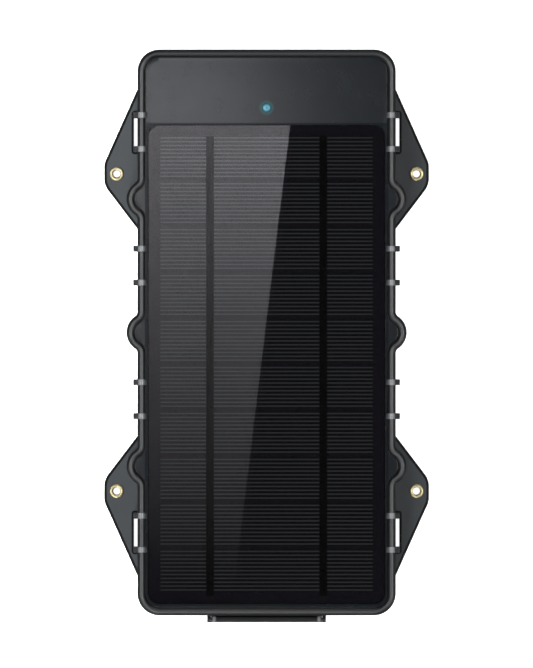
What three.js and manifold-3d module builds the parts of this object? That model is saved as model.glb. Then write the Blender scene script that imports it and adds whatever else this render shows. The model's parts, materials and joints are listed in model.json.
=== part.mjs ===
// A rugged solar power bank: two shells with a battery between them, a solar panel let into the
// face, a soft bumper ring round the edge, four ears with brass eyelets, and a hinged port cover.
// Millimetres. The case lies on its back: +Z is the way the panel faces, +Y points at the end with
// the indicator, and the origin is the middle of the back face.
import * as THREE from "three";
import { mergeVertices } from "three/addons/utils/BufferGeometryUtils.js";
import Module from "manifold-3d";

const wasm = await Module();
wasm.setup();

// Modelling
const past = 1; // how far a cutting tool reaches beyond what it cuts
const overlap = 0.5; // how far one solid reaches into the next that it is joined to
const nib = 0.1; // the same for the small ones

// Case
const caseWidth = 73;
const caseLength = 160;
const caseDepth = 20; // from the back face to the crest of the bead
const cornerRadius = 6.2;
const backThickness = 3;
const backPocketDepth = 1;
const backChamfer = 0.4;
const backEdgeInset = 0.4; // the back shell's edge lies this far in from the bumper's outer face
const cavityInset = 5.5;
const cavityCornerRadius = 3;
const beadHeight = 0.8; // the bead's crest above the face
const ceilingThickness = 1.6; // the front shell's wall under the panel recess
const faceChamfer = 0.25;

// Screw lobes along the sides
const lobeRadius = 5.5;
const lobeCentreInset = 2.4;
const lobeFilletRadius = 1.5;
const endToSlot = 23.35; // from the end of the case to the middle of the nearest ear slot
const sideStations = 3; // equal steps along the side, from the middle lobe to the ear slot

// Bumper ring
const bumperThickness = 2.2;
const bumperRound = 1;
const bumperSeatGap = 0.2;
const ribSpacing = 9.6; // between the two ribs of a pair
const ribThickness = 1.65;
const ribOverhang = 1.2; // beyond the bumper's outer face
const ribReach = 2.5; // inwards across the bead
const ribCrown = 0.3; // above the bead's crest
const ribRound = 0.5;

// Ears, measured from the bumper's outer face and from the middle of the slot
const earReach = 9.5;
const earOuterRoot = 12.45;
const earOuterShoulder = 8.75;
const earInnerShoulder = 14.95;
const earInnerRoot = 27.45;
const earCornerCut = 1.5; // along each edge, from the corner to where its curve starts
const slotWidth = 0.95;
const slotLength = 11;
const slotUndercut = 0.1;

// Eyelets
const eyeletHoleRadius = 1;
const eyeletBarrelRadius = 1.4;
const eyeletFlangeRadius = 2;
const eyeletFlangeThickness = 0.35;
const eyeletFromSide = 5.95;
const eyeletFromSlot = 11.7;
const eyeletClearance = 0.1;
const eyeletSinkDepth = 0.6;
const eyeletOuterRound = 0.15;
const eyeletInnerRound = 0.2;

// Solar panel
const panelSideMargin = 3.15;
const panelBottomMargin = 3.4;
const panelTopMargin = 21.5;
const panelCornerRadius = 3.1;
const panelClearance = 0.15;
const recessDepth = 2;
const tapeThickness = 0.2;
const tapeInset = 1;
const backboardThickness = 0.7;
const cellThickness = 0.2;
const ribbonThickness = 0.12;
const ribbonWidth = 2.2;
const ribbonOffset = 16;
const coverThickness = 0.5;
const coverChamfer = 0.12;
const layerGap = 0.03;
const cellCount = 10;
const cellSideMargin = 3.2;
const cellTopMargin = 2.1;
const cellBottomMargin = 3.1;
const cellGap = 0.9;
const panelLeadFromScrew = 9;
const panelLeadFromBoardEnd = 5;
const panelLeadWidth = 4;
const panelLeadThickness = 0.5;
const panelLeadClearance = 0.3;

// Shell seal
const sealWidth = 1;
const sealInset = 3.9;
const sealCornerRadius = 4;
const sealGrooveDepth = 0.9;
const sealClearance = 0.1;

// Case screws
const screwShankRadius = 1;
const screwHeadRadius = 1.9;
const screwHeadHeight = 1.2;
const screwHeadSink = 0.1; // the heads lie this far inside the back face
const screwTip = 12.5;
const screwClearance = 0.2;
const threadClearance = 0.05;
const screwHoleExtra = 0.5; // below the tip
const driveRadius = 0.8;
const driveDepth = 0.7;

// Port frame and bay, at the bottom end
const frameHalfWidth = 16.8;
const frameBottom = 4.2;
const frameLowerEdge = 1.1;
const frameUpperEdge = 1.9;
const bayHalfWidth = 14.2;
const bayDepth = 1.6;
const bayMargin = 0.65; // above and below the larger socket
const frameClearance = 0.2;

// Sockets
const usbAWidth = 13.1;
const usbAHeight = 5.7;
const usbALength = 14;
const usbAWall = 0.35;
const usbAMouthDepth = 9.5;
const usbATongueWidth = 11.1;
const usbATongueHeight = 1.8;
const usbATongueGap = 0.7; // between the tongue and the shell's roof
const usbATongueSetback = 1;
const usbACentre = -7.2;
const usbCWidth = 8.9;
const usbCHeight = 3.2;
const usbCLength = 7.3;
const usbCWall = 0.3;
const usbCMouthDepth = 5.5;
const usbCTongueWidth = 6.6;
const usbCTongueHeight = 0.7;
const usbCTongueSetback = 0.8;
const usbCCentre = 4.7;
const socketRecess = 0.2; // the mouths stay this far outside the bay's floor
const socketClearance = 0.15;

// Power key and switch
const keyWidth = 3.4;
const keyHeight = 3.6;
const keyCentre = 11.75;
const keyProud = 0.6;
const keyTravel = 0.4;
const keyClearance = 0.2;
const keyFlangeExtra = 0.7;
const keyFlangeThickness = 0.8;
const keyStemLength = 0.7;
const keyStemRadius = 0.8;
const keyStopGap = 0.05;
const switchWidth = 4.6;
const switchLength = 3.4;
const switchPlungerLength = 0.5;
const switchAboveStem = 0.8;

// Port cover, its pin and its seal
const hingeRadius = 0.95;
const hingeGap = 0.15; // between the cover and the frame's face
const pinRadius = 0.45;
const pinClearance = 0.12;
const pinSink = 0.1; // its ends lie this far inside the lugs
const lugThickness = 1.1;
const lugGap = 0.25;
const lugDrop = 1.6;
const coverSideGap = 0.3;
const coverPlugDepth = 0.5;
const portSealDepth = 1;
const portSealWall = 1.2;
const portSealSideGap = 0.35;

// Boards
const boardThickness = 1.6;
const boardLength = 24;
const boardClearance = 0.2;
const boardSideMargin = 3.2;
const boardScrewInset = 4;
const boardPostRadius = 2.4;
const boardScrewRadius = 0.9;
const boardScrewHeadRadius = 1.8;
const boardScrewHeadHeight = 1.2;
const boardScrewLength = 6;
const boardScrewHoleExtra = 0.3; // below the tip
const chipSize = 5;
const chipThickness = 0.9;
const chipFromBoardEnd = 4;
const inductorRadius = 3.4;
const inductorHeight = 3.6;
const inductorFromChip = 1.5;
const partGap = 0.05;

// Battery
const batterySideClearance = 2.6;
const batteryBoardGap = 5.2;
const batteryIndicatorGap = 18;
const batteryPadThickness = 1;
const batteryPadInset = 2;
const batteryCornerRadius = 2;
const batteryRound = 1.2;
const protectionBoardWidth = 36;
const protectionBoardLength = 3.2;
const protectionBoardThickness = 1;
const protectionBoardGap = 0.3;
const leadRadius = 0.6;
const leadSpacing = 6;

// Indicator
const indicatorFromEnd = 16.5;
const pipeRadius = 1.1;
const pipeFlangeRadius = 1.7;
const pipeFlangeThickness = 0.5;
const pipeClearance = 0.08;
const indicatorSkin = 2; // the face's thickness over the indicator
const indicatorBoardWidth = 12;
const indicatorBoardLength = 7;
const indicatorBoardThickness = 0.8;
const indicatorLedSize = 1.6;
const indicatorLedHeight = 0.6;
const indicatorPocketInset = 4;
const indicatorPocketFromPanel = 1;
const indicatorPocketCorner = 1;
const indicatorPostWidth = 2;
const pipeDomeHeight = 0.15;
const pipeDomeRound = 0.25;

// Places that follow from the sizes above
const halfWidth = caseWidth / 2;
const halfLength = caseLength / 2;
const shellInset = bumperThickness + bumperSeatGap;
const faceLevel = caseDepth - beadHeight;
const recessLevel = faceLevel - recessDepth;
const ceilingLevel = recessLevel - ceilingThickness;
const cavityFloor = backThickness - backPocketDepth;
const shellBottom = backThickness + layerGap * 2;
const screwHeadSeat = screwHeadSink + screwHeadHeight + partGap;
const slotStation = halfLength - endToSlot;
const sidePitch = slotStation / sideStations;
const lobeStations = [-2 * sidePitch, 0, 2 * sidePitch];
const ribPairStations = [-slotStation, -sidePitch, sidePitch, slotStation];
const panelBottom = -halfLength + panelBottomMargin;
const panelTop = halfLength - panelTopMargin;
const panelWidth = caseWidth - 2 * panelSideMargin;
const cavityEnd = halfLength - cavityInset;
const bayBottom = frameBottom + frameLowerEdge;
const bayTop = bayBottom + usbAHeight + 2 * bayMargin;
const frameTop = bayTop + frameUpperEdge;
const bayMiddle = (bayBottom + bayTop) / 2;
const bayFloor = -halfLength + bayDepth;
const socketMouth = bayFloor - socketRecess;
const socketBottom = bayBottom + bayMargin;
const boardTop = socketBottom - partGap;
const boardBottom = boardTop - boardThickness;
const boardStart = -cavityEnd + boardClearance;
const boardEnd = boardStart + boardLength;
const boardHalfWidth = halfWidth - cavityInset - boardSideMargin;
const hingeY = -halfLength - hingeGap - hingeRadius;
const hingeZ = frameTop - hingeRadius - lugGap / 2;

// Materials
const finish = (color, roughness, metalness = 0) =>
  new THREE.MeshStandardMaterial({ color, roughness, metalness });
const shellPlastic = finish(0x43474a, 0.45);
const backPlastic = finish(0x3f4346, 0.55);
const bumperRubber = finish(0x1d1f20, 0.6);
const sealRubber = finish(0x2a2a2a, 0.8);
const brass = finish(0xd9b65a, 0.3, 1);
const steel = finish(0x9a9c9e, 0.35, 1);
const cellSilicon = finish(0x15161c, 0.3);
const ribbonBlack = finish(0x060608, 0.5);
const clearCover = finish(0x2a2c30, 0.1);
const boardGreen = finish(0x1d5a34, 0.5);
const darkLaminate = finish(0x101114, 0.6);
const tapeWhite = finish(0xdedede, 0.8);
const foamGrey = finish(0x77797b, 0.95);
const pouchSilver = finish(0xb9bcc0, 0.4, 0.7);
const chipBlack = finish(0x17181a, 0.5);
const keyGrey = finish(0x55585a, 0.5);
const glowBlue = finish(0x39b6d2, 0.25);
const redWire = finish(0xb0201c, 0.5);
const blackWire = finish(0x121212, 0.5);

const charger = new THREE.Group();
charger.name = "solar_phone_charger";

// Solids and booleans

function solid(geometry, x = 0, y = 0, z = 0) {
  const bare = geometry.clone();
  bare.deleteAttribute("normal");
  bare.deleteAttribute("uv");
  bare.translate(x, y, z);
  const merged = mergeVertices(bare, 1e-4);
  const mesh = new wasm.Mesh({
    numProp: 3,
    vertProperties: new Float32Array(merged.attributes.position.array),
    triVerts: new Uint32Array(merged.index.array),
  });
  return new wasm.Manifold(mesh);
}

const joined = (...solids) => solids.reduce((whole, next) => whole.add(next));
const cut = (whole, ...tools) => tools.reduce((rest, tool) => rest.subtract(tool), whole);

function addPiece(name, made, material) {
  const mesh = made.getMesh();
  const geometry = new THREE.BufferGeometry();
  geometry.setAttribute("position", new THREE.BufferAttribute(mesh.vertProperties, 3));
  geometry.setIndex(new THREE.BufferAttribute(mesh.triVerts, 1));
  geometry.computeVertexNormals();
  const piece = new THREE.Mesh(geometry, material);
  piece.name = name;
  charger.add(piece);
}

// A box from its lowest to its highest corner.
function block(x0, x1, y0, y1, z0, z1) {
  const geometry = new THREE.BoxGeometry(x1 - x0, y1 - y0, z1 - z0);
  return solid(geometry, (x0 + x1) / 2, (y0 + y1) / 2, (z0 + z1) / 2);
}

// An outline stood up between two levels.
function slab(outline, bottom, top) {
  const geometry = new THREE.ExtrudeGeometry(outline, {
    depth: top - bottom,
    bevelEnabled: false,
    curveSegments: 3,
  });
  return solid(geometry, 0, 0, bottom);
}

// The same with its two rims rounded, or chamfered where steps is 1.
function softSlab(outline, bottom, top, round, steps) {
  const geometry = new THREE.ExtrudeGeometry(outline, {
    depth: top - bottom - 2 * round,
    bevelThickness: round,
    bevelSize: round,
    bevelOffset: -round,
    bevelSegments: steps,
    curveSegments: 3,
  });
  return solid(geometry, 0, 0, bottom + round);
}

function uprightCylinder(radius, x, y, bottom, top, sides = 20) {
  const geometry = new THREE.CylinderGeometry(radius, radius, top - bottom, sides);
  geometry.rotateX(Math.PI / 2);
  return solid(geometry, x, y, (bottom + top) / 2);
}

// A round bar along X.
function crossBar(radius, x0, x1, y, z, sides = 16) {
  const geometry = new THREE.CylinderGeometry(radius, radius, x1 - x0, sides);
  geometry.rotateZ(Math.PI / 2);
  return solid(geometry, (x0 + x1) / 2, y, z);
}

// A profile of [radius, level] points turned about an upright axis at x, y.
function turned(profile, x, y, sides = 16) {
  const points = profile.map(([radius, level]) => new THREE.Vector2(radius, level));
  const geometry = new THREE.LatheGeometry(points, sides);
  geometry.rotateX(Math.PI / 2);
  return solid(geometry, x, y, 0);
}

// Outlines

function arcPoints(centreX, centreY, radius, from, to, steps) {
  const points = [];
  for (let step = 0; step <= steps; step++) {
    const angle = from + ((to - from) * step) / steps;
    points.push(
      new THREE.Vector2(centreX + radius * Math.cos(angle), centreY + radius * Math.sin(angle)),
    );
  }
  return points;
}

// One screw lobe on the right side, run upwards, with the hollow fillets on both sides of it.
function lobePoints(station, inset) {
  const filletX = halfWidth + lobeFilletRadius;
  const across = lobeCentreInset + lobeFilletRadius;
  const along = Math.sqrt((lobeRadius + lobeFilletRadius) ** 2 - across ** 2);
  const spread = Math.atan2(along, across);
  const hollow = lobeFilletRadius + inset;
  const centreX = halfWidth - lobeCentreInset;
  return [
    ...arcPoints(filletX, station - along, hollow, Math.PI, Math.PI - spread, 2),
    ...arcPoints(centreX, station, lobeRadius - inset, -spread, spread, 6).slice(1, -1),
    ...arcPoints(filletX, station + along, hollow, Math.PI + spread, Math.PI, 2),
  ];
}

// The whole case seen from the front, moved in by inset.
function caseOutline(inset) {
  const cornerX = halfWidth - cornerRadius;
  const cornerY = halfLength - cornerRadius;
  const radius = cornerRadius - inset;
  const quarter = Math.PI / 2;
  const side = lobeStations.flatMap((station) => lobePoints(station, inset));
  const otherSide = side.map((point) => new THREE.Vector2(-point.x, point.y)).reverse();
  return new THREE.Shape([
    ...arcPoints(cornerX, -cornerY, radius, -quarter, 0, 6),
    ...side,
    ...arcPoints(cornerX, cornerY, radius, 0, quarter, 6),
    ...arcPoints(-cornerX, cornerY, radius, quarter, 2 * quarter, 6),
    ...otherSide,
    ...arcPoints(-cornerX, -cornerY, radius, 2 * quarter, 3 * quarter, 6),
  ]);
}

// A rectangle with round corners between two x and two y values.
function roundedRectangle(x0, x1, y0, y1, radius) {
  const quarter = Math.PI / 2;
  return new THREE.Shape([
    ...arcPoints(x1 - radius, y0 + radius, radius, -quarter, 0, 4),
    ...arcPoints(x1 - radius, y1 - radius, radius, 0, quarter, 4),
    ...arcPoints(x0 + radius, y1 - radius, radius, quarter, 2 * quarter, 4),
    ...arcPoints(x0 + radius, y0 + radius, radius, 2 * quarter, 3 * quarter, 4),
  ]);
}

// A straight-sided outline with its corners rounded by curves.
function roundedPolygon(corners, cutLength) {
  const shape = new THREE.Shape();
  corners.forEach((corner, index) => {
    const before = corners[(index + corners.length - 1) % corners.length];
    const after = corners[(index + 1) % corners.length];
    const start = corner.clone().add(before.clone().sub(corner).setLength(cutLength));
    const end = corner.clone().add(after.clone().sub(corner).setLength(cutLength));
    if (index === 0) shape.moveTo(start.x, start.y);
    else shape.lineTo(start.x, start.y);
    shape.quadraticCurveTo(corner.x, corner.y, end.x, end.y);
  });
  return shape;
}

const cavityOutline = (shrink = 0) =>
  roundedRectangle(
    -halfWidth + cavityInset + shrink,
    halfWidth - cavityInset - shrink,
    -cavityEnd + shrink,
    cavityEnd - shrink,
    cavityCornerRadius,
  );

const panelOutline = (grow = 0) =>
  roundedRectangle(
    -panelWidth / 2 - grow,
    panelWidth / 2 + grow,
    panelBottom - grow,
    panelTop + grow,
    panelCornerRadius + grow,
  );

// Every place that repeats left and right, and top and bottom
const sides = [
  { word: "left", across: -1 },
  { word: "right", across: 1 },
];
const ends = [
  { word: "upper", along: 1 },
  { word: "lower", along: -1 },
];
const screwX = halfWidth - lobeCentreInset;
const screwPlaces = sides.flatMap(({ word, across }) =>
  lobeStations.map((station, index) => ({
    name: `case_screw_${word}_${index + 1}`,
    x: across * screwX,
    y: station,
  })),
);
const eyeletPlaces = ends.flatMap((end) =>
  sides.map((side) => ({
    name: `eyelet_${end.word}_${side.word}`,
    x: side.across * (halfWidth + eyeletFromSide),
    y: end.along * (slotStation - eyeletFromSlot),
  })),
);
const boardScrewPlaces = sides.map(({ word, across }) => ({
  name: `board_screw_${word}`,
  x: across * (boardHalfWidth - boardScrewInset),
  y: boardEnd - boardScrewInset,
}));

// Back shell: a plate with the four ears, the seal groove and the screw holes

function earOutline(across, along) {
  const rootX = halfWidth - cavityInset;
  const corners = [
    [rootX, slotStation - earInnerRoot],
    [halfWidth, slotStation - earInnerRoot],
    [halfWidth + earReach, slotStation - earInnerShoulder],
    [halfWidth + earReach, slotStation - earOuterShoulder],
    [halfWidth, slotStation + earOuterRoot],
    [rootX, slotStation + earOuterRoot],
  ].map(([x, y]) => new THREE.Vector2(across * x, along * y));
  return roundedPolygon(corners, earCornerCut);
}

function makeBackShell() {
  const plate = softSlab(caseOutline(backEdgeInset), 0, backThickness, backChamfer, 1);
  const ears = sides.flatMap(({ across }) =>
    ends.map(({ along }) =>
      softSlab(earOutline(across, along), 0, backThickness, backChamfer, 1),
    ),
  );
  const slots = sides.flatMap(({ across }) =>
    ends.map(({ along }) => {
      const inner = across * (halfWidth - slotUndercut);
      const outer = across * (halfWidth + slotWidth);
      const middle = along * slotStation;
      return block(
        Math.min(inner, outer),
        Math.max(inner, outer),
        middle - slotLength / 2,
        middle + slotLength / 2,
        -past,
        backThickness + past,
      );
    }),
  );
  const eyeletHoles = eyeletPlaces.flatMap(({ x, y }) => [
    uprightCylinder(eyeletBarrelRadius + eyeletClearance, x, y, -past, backThickness + past),
    uprightCylinder(eyeletFlangeRadius + eyeletClearance, x, y, -past, eyeletSinkDepth),
  ]);
  const screwHoles = screwPlaces.flatMap(({ x, y }) => [
    uprightCylinder(screwShankRadius + screwClearance, x, y, -past, backThickness + past),
    uprightCylinder(screwHeadRadius + screwClearance, x, y, -past, screwHeadSeat),
  ]);
  const pocket = slab(cavityOutline(), cavityFloor, backThickness + past);
  const grooveTop = backThickness + past;
  const groove = sealRing(0, backThickness - sealGrooveDepth, grooveTop);
  return cut(joined(plate, ...ears), pocket, groove, ...slots, ...eyeletHoles, ...screwHoles);
}

// A ring round the cavity, inside the screws, narrowed on both faces by slack.
function sealRing(slack, bottom, top) {
  const outer = sealInset + slack;
  const inner = sealInset + sealWidth - slack;
  const outerShape = roundedRectangle(
    -halfWidth + outer,
    halfWidth - outer,
    -halfLength + outer,
    halfLength - outer,
    sealCornerRadius,
  );
  const innerShape = roundedRectangle(
    -halfWidth + inner,
    halfWidth - inner,
    -halfLength + inner,
    halfLength - inner,
    sealCornerRadius - sealWidth / 2,
  );
  return cut(slab(outerShape, bottom, top), slab(innerShape, bottom - past, top + past));
}

// Front shell: the face and the side walls, with the panel recess, the port frame and the lugs

function makeFrontShell() {
  const hood = softSlab(caseOutline(shellInset), shellBottom, faceLevel, faceChamfer, 1);
  const frame = block(
    -frameHalfWidth,
    frameHalfWidth,
    -halfLength,
    -cavityEnd,
    frameBottom,
    frameTop,
  );
  const lugs = sides.flatMap(({ across }) => {
    const inner = across * (frameHalfWidth - lugThickness);
    const outer = across * frameHalfWidth;
    const x0 = Math.min(inner, outer);
    const x1 = Math.max(inner, outer);
    return [
      block(x0, x1, hingeY, -halfLength + overlap, hingeZ - lugDrop, hingeZ + hingeRadius),
      crossBar(hingeRadius, x0, x1, hingeY, hingeZ),
    ];
  });
  const posts = boardScrewPlaces.map(({ x, y }) =>
    uprightCylinder(boardPostRadius, x, y, boardTop + partGap, ceilingLevel + overlap),
  );
  const half = indicatorPostWidth / 2;
  const indicatorPosts = sides.map(({ across }) => {
    const x = across * (indicatorBoardWidth / 2 - half);
    const top = pocketTop + overlap;
    return block(x - half, x + half, indicatorY - half, indicatorY + half, boardSeat, top);
  });
  const shell = joined(
    cut(joined(hood, frame, ...lugs), cavity(), indicatorPocket()),
    ...posts,
    ...indicatorPosts,
  );
  return cut(
    shell,
    slab(panelOutline(panelClearance), recessLevel, faceLevel + past),
    portBay(),
    usbAHole(),
    usbCHole(),
    keyHole(),
    crossBar(
      pinRadius + threadClearance,
      -frameHalfWidth - past,
      frameHalfWidth + past,
      hingeY,
      hingeZ,
    ),
    uprightCylinder(pipeRadius + pipeClearance, 0, indicatorY, boardSeat, faceLevel + past),
    panelLeadSlot(),
    ...screwPlaces.map(({ x, y }) =>
      uprightCylinder(screwShankRadius + threadClearance, x, y, 0, screwTip + screwHoleExtra),
    ),
    ...boardScrewPlaces.map(({ x, y }) =>
      uprightCylinder(boardScrewRadius + threadClearance, x, y, 0, boardScrewTip + boardScrewHoleExtra),
    ),
  );
}

const cavity = () => slab(cavityOutline(), 0, ceilingLevel);

const indicatorY = halfLength - indicatorFromEnd;
const pocketTop = faceLevel - indicatorSkin;
const pipeBottom = pocketTop - pipeFlangeThickness;
const boardSeat = pipeBottom - partGap - indicatorLedHeight;
const boardScrewTip = boardBottom - partGap + boardScrewLength;

function indicatorPocket() {
  const outline = roundedRectangle(
    -halfWidth + cavityInset + indicatorPocketInset,
    halfWidth - cavityInset - indicatorPocketInset,
    panelTop + panelClearance + indicatorPocketFromPanel,
    cavityEnd,
    indicatorPocketCorner,
  );
  return slab(outline, ceilingLevel - past, pocketTop);
}

const portBay = () =>
  block(-bayHalfWidth, bayHalfWidth, -halfLength - past, bayFloor, bayBottom, bayTop);

function usbAHole() {
  const half = usbAWidth / 2 + socketClearance;
  return block(
    usbACentre - half,
    usbACentre + half,
    bayFloor - overlap,
    -cavityEnd + overlap,
    socketBottom - socketClearance,
    socketBottom + usbAHeight + socketClearance,
  );
}

function usbCHole() {
  const half = usbCWidth / 2 + socketClearance;
  return block(
    usbCCentre - half,
    usbCCentre + half,
    bayFloor - overlap,
    -cavityEnd + overlap,
    socketBottom - socketClearance,
    socketBottom + usbCHeight + socketClearance,
  );
}

function keyHole() {
  const half = keyWidth / 2 + keyClearance;
  return block(
    keyCentre - half,
    keyCentre + half,
    bayFloor - overlap,
    -cavityEnd + overlap,
    bayMiddle - keyHeight / 2 - keyClearance,
    bayMiddle + keyHeight / 2 + keyClearance,
  );
}

// Bumper ring with its bead and ribs

function makeRib(across, y) {
  const top = caseDepth + ribCrown;
  const ring = bumperThickness / 2;
  const foot = backThickness + bumperSeatGap;
  const overFace = faceLevel + bumperSeatGap / 2;
  const profile = new THREE.Shape([
    new THREE.Vector2(-ring, foot),
    new THREE.Vector2(ribOverhang - ribRound, foot),
    new THREE.Vector2(ribOverhang, foot + ribRound),
    new THREE.Vector2(ribOverhang, top - ribRound),
    new THREE.Vector2(ribOverhang - ribRound, top),
    new THREE.Vector2(ribRound - ribReach, top),
    new THREE.Vector2(-ribReach, top - ribRound),
    new THREE.Vector2(-ribReach, overFace),
    new THREE.Vector2(-ring, overFace),
  ]);
  const geometry = new THREE.ExtrudeGeometry(profile, {
    depth: ribThickness,
    bevelEnabled: false,
  });
  geometry.rotateX(Math.PI / 2);
  geometry.translate(0, ribThickness / 2, 0);
  if (across < 0) geometry.rotateZ(Math.PI);
  return solid(geometry, across * halfWidth, y, 0);
}

function makeBumper() {
  const bottom = backThickness + bumperSeatGap;
  const ringShape = caseOutline(0);
  ringShape.holes.push(caseOutline(bumperThickness));
  const ring = softSlab(ringShape, bottom, caseDepth, bumperRound, 2);
  const ribs = sides.flatMap(({ across }) =>
    ribPairStations.flatMap((station) =>
      [-1, 1].map((step) => makeRib(across, station + (step * ribSpacing) / 2)),
    ),
  );
  const half = frameHalfWidth + frameClearance;
  const window = block(
    -half,
    half,
    -halfLength - past,
    -halfLength + shellInset + past,
    frameBottom - frameClearance,
    frameTop + frameClearance,
  );
  return cut(joined(ring, ...ribs), window);
}

// Solar panel: tape, backboard, cells, ribbons and the clear cover, one layer on the other

function makePanel() {
  let level = recessLevel;
  const layer = (thickness) => {
    const bottom = level + layerGap;
    level = bottom + thickness;
    return [bottom, level];
  };
  const hole = panelLeadSlot();
  const [tapeBottom, tapeTop] = layer(tapeThickness);
  addPiece("panel_tape", cut(slab(panelOutline(-tapeInset), tapeBottom, tapeTop), hole), tapeWhite);
  const [boardLow, boardHigh] = layer(backboardThickness);
  addPiece("panel_backboard", slab(panelOutline(), boardLow, boardHigh), darkLaminate);
  const [cellLow, cellHigh] = layer(cellThickness);
  const rowTop = panelTop - cellTopMargin;
  const pitch = (rowTop - panelBottom - cellBottomMargin) / cellCount;
  const cellHalf = panelWidth / 2 - cellSideMargin;
  for (let row = 0; row < cellCount; row++) {
    const top = rowTop - row * pitch - cellGap / 2;
    const bottom = rowTop - (row + 1) * pitch + cellGap / 2;
    const number = String(row + 1).padStart(2, "0");
    const cell = block(-cellHalf, cellHalf, bottom, top, cellLow, cellHigh);
    addPiece(`solar_cell_${number}`, cell, cellSilicon);
  }
  const [ribbonLow, ribbonHigh] = layer(ribbonThickness);
  for (const { word, across } of sides) {
    const x = across * ribbonOffset;
    const ribbon = block(
      x - ribbonWidth / 2,
      x + ribbonWidth / 2,
      panelBottom + cellBottomMargin - cellGap,
      rowTop - cellGap,
      ribbonLow,
      ribbonHigh,
    );
    addPiece(`cell_ribbon_${word}`, ribbon, ribbonBlack);
  }
  const [coverLow, coverHigh] = layer(coverThickness);
  const cover = softSlab(panelOutline(), coverLow, coverHigh, coverChamfer, 1);
  addPiece("panel_cover", cover, clearCover);
}

// The flat lead from the backboard, straight down to the main board

const panelLeadX = boardHalfWidth - boardScrewInset - panelLeadFromScrew;
const panelLeadY = boardEnd - panelLeadFromBoardEnd;

const panelLeadSlot = () =>
  block(
    panelLeadX - panelLeadWidth / 2 - panelLeadClearance,
    panelLeadX + panelLeadWidth / 2 + panelLeadClearance,
    panelLeadY - panelLeadThickness / 2 - panelLeadClearance,
    panelLeadY + panelLeadThickness / 2 + panelLeadClearance,
    ceilingLevel - past,
    recessLevel + tapeThickness + past,
  );

const makePanelLead = () =>
  block(
    panelLeadX - panelLeadWidth / 2,
    panelLeadX + panelLeadWidth / 2,
    panelLeadY - panelLeadThickness / 2,
    panelLeadY + panelLeadThickness / 2,
    boardTop + partGap,
    recessLevel + layerGap + tapeThickness,
  );

// Eyelet: a flange on the front, a barrel through the ear, and a rolled rim in its sink behind

function makeEyelet({ x, y }) {
  const front = backThickness + partGap;
  const back = eyeletSinkDepth - partGap;
  const profile = [
    [eyeletHoleRadius, back - eyeletFlangeThickness],
    [eyeletFlangeRadius, back - eyeletFlangeThickness],
    [eyeletFlangeRadius, back],
    [eyeletBarrelRadius, back],
    [eyeletBarrelRadius, front],
    [eyeletFlangeRadius, front],
    [eyeletFlangeRadius - eyeletOuterRound, front + eyeletFlangeThickness],
    [eyeletHoleRadius + eyeletInnerRound, front + eyeletFlangeThickness],
    [eyeletHoleRadius, front + eyeletFlangeThickness - eyeletInnerRound],
    [eyeletHoleRadius, back - eyeletFlangeThickness],
  ];
  return turned(profile, x, y);
}

// Screws: a head with a drive recess, below a plain shank with a pointed end

function makeScrew(place, headBottom, headRadius, headHeight, shankRadius, tip) {
  const { x, y } = place;
  const headTop = headBottom + headHeight;
  const profile = [
    [0, headBottom + driveDepth],
    [driveRadius, headBottom + driveDepth],
    [driveRadius, headBottom],
    [headRadius, headBottom],
    [headRadius, headTop],
    [shankRadius, headTop],
    [shankRadius, tip - shankRadius],
    [0, tip],
  ];
  return turned(profile, x, y);
}

// Sockets: a metal shell round a tongue, closed behind

function makeUsbASocket() {
  const x0 = usbACentre - usbAWidth / 2;
  const x1 = usbACentre + usbAWidth / 2;
  const top = socketBottom + usbAHeight;
  const body = block(x0, x1, socketMouth, socketMouth + usbALength, socketBottom, top);
  const mouth = block(
    x0 + usbAWall,
    x1 - usbAWall,
    socketMouth - past,
    socketMouth + usbAMouthDepth,
    socketBottom + usbAWall,
    top - usbAWall,
  );
  const tongueTop = top - usbAWall - usbATongueGap;
  const tongue = block(
    usbACentre - usbATongueWidth / 2,
    usbACentre + usbATongueWidth / 2,
    socketMouth + usbATongueSetback,
    socketMouth + usbAMouthDepth + overlap,
    tongueTop - usbATongueHeight,
    tongueTop,
  );
  return joined(cut(body, mouth), tongue);
}

function standingSlab(outline, y0, y1, x, z) {
  const geometry = new THREE.ExtrudeGeometry(outline, { depth: y1 - y0, bevelEnabled: false });
  geometry.rotateX(Math.PI / 2);
  return solid(geometry, x, y1, z);
}

function makeUsbCSocket() {
  const middle = socketBottom + usbCHeight / 2;
  const shape = (shrink) =>
    roundedRectangle(
      -usbCWidth / 2 + shrink,
      usbCWidth / 2 - shrink,
      -usbCHeight / 2 + shrink,
      usbCHeight / 2 - shrink,
      usbCHeight / 2 - shrink - partGap,
    );
  const end = socketMouth + usbCLength;
  const body = standingSlab(shape(0), socketMouth, end, usbCCentre, middle);
  const mouthEnd = socketMouth + usbCMouthDepth;
  const mouth = standingSlab(shape(usbCWall), socketMouth - past, mouthEnd, usbCCentre, middle);
  const tongue = block(
    usbCCentre - usbCTongueWidth / 2,
    usbCCentre + usbCTongueWidth / 2,
    socketMouth + usbCTongueSetback,
    mouthEnd + overlap,
    middle - usbCTongueHeight / 2,
    middle + usbCTongueHeight / 2,
  );
  return joined(cut(body, mouth), tongue);
}

// Power key: a cap through the wall, a flange that keeps it in, and a stem towards the switch

const keyFlangeStart = -cavityEnd + keyClearance;
const keyStemEnd = keyFlangeStart + keyFlangeThickness + keyStemLength;
const plungerTip = keyStemEnd + keyTravel + keyStopGap;

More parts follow.
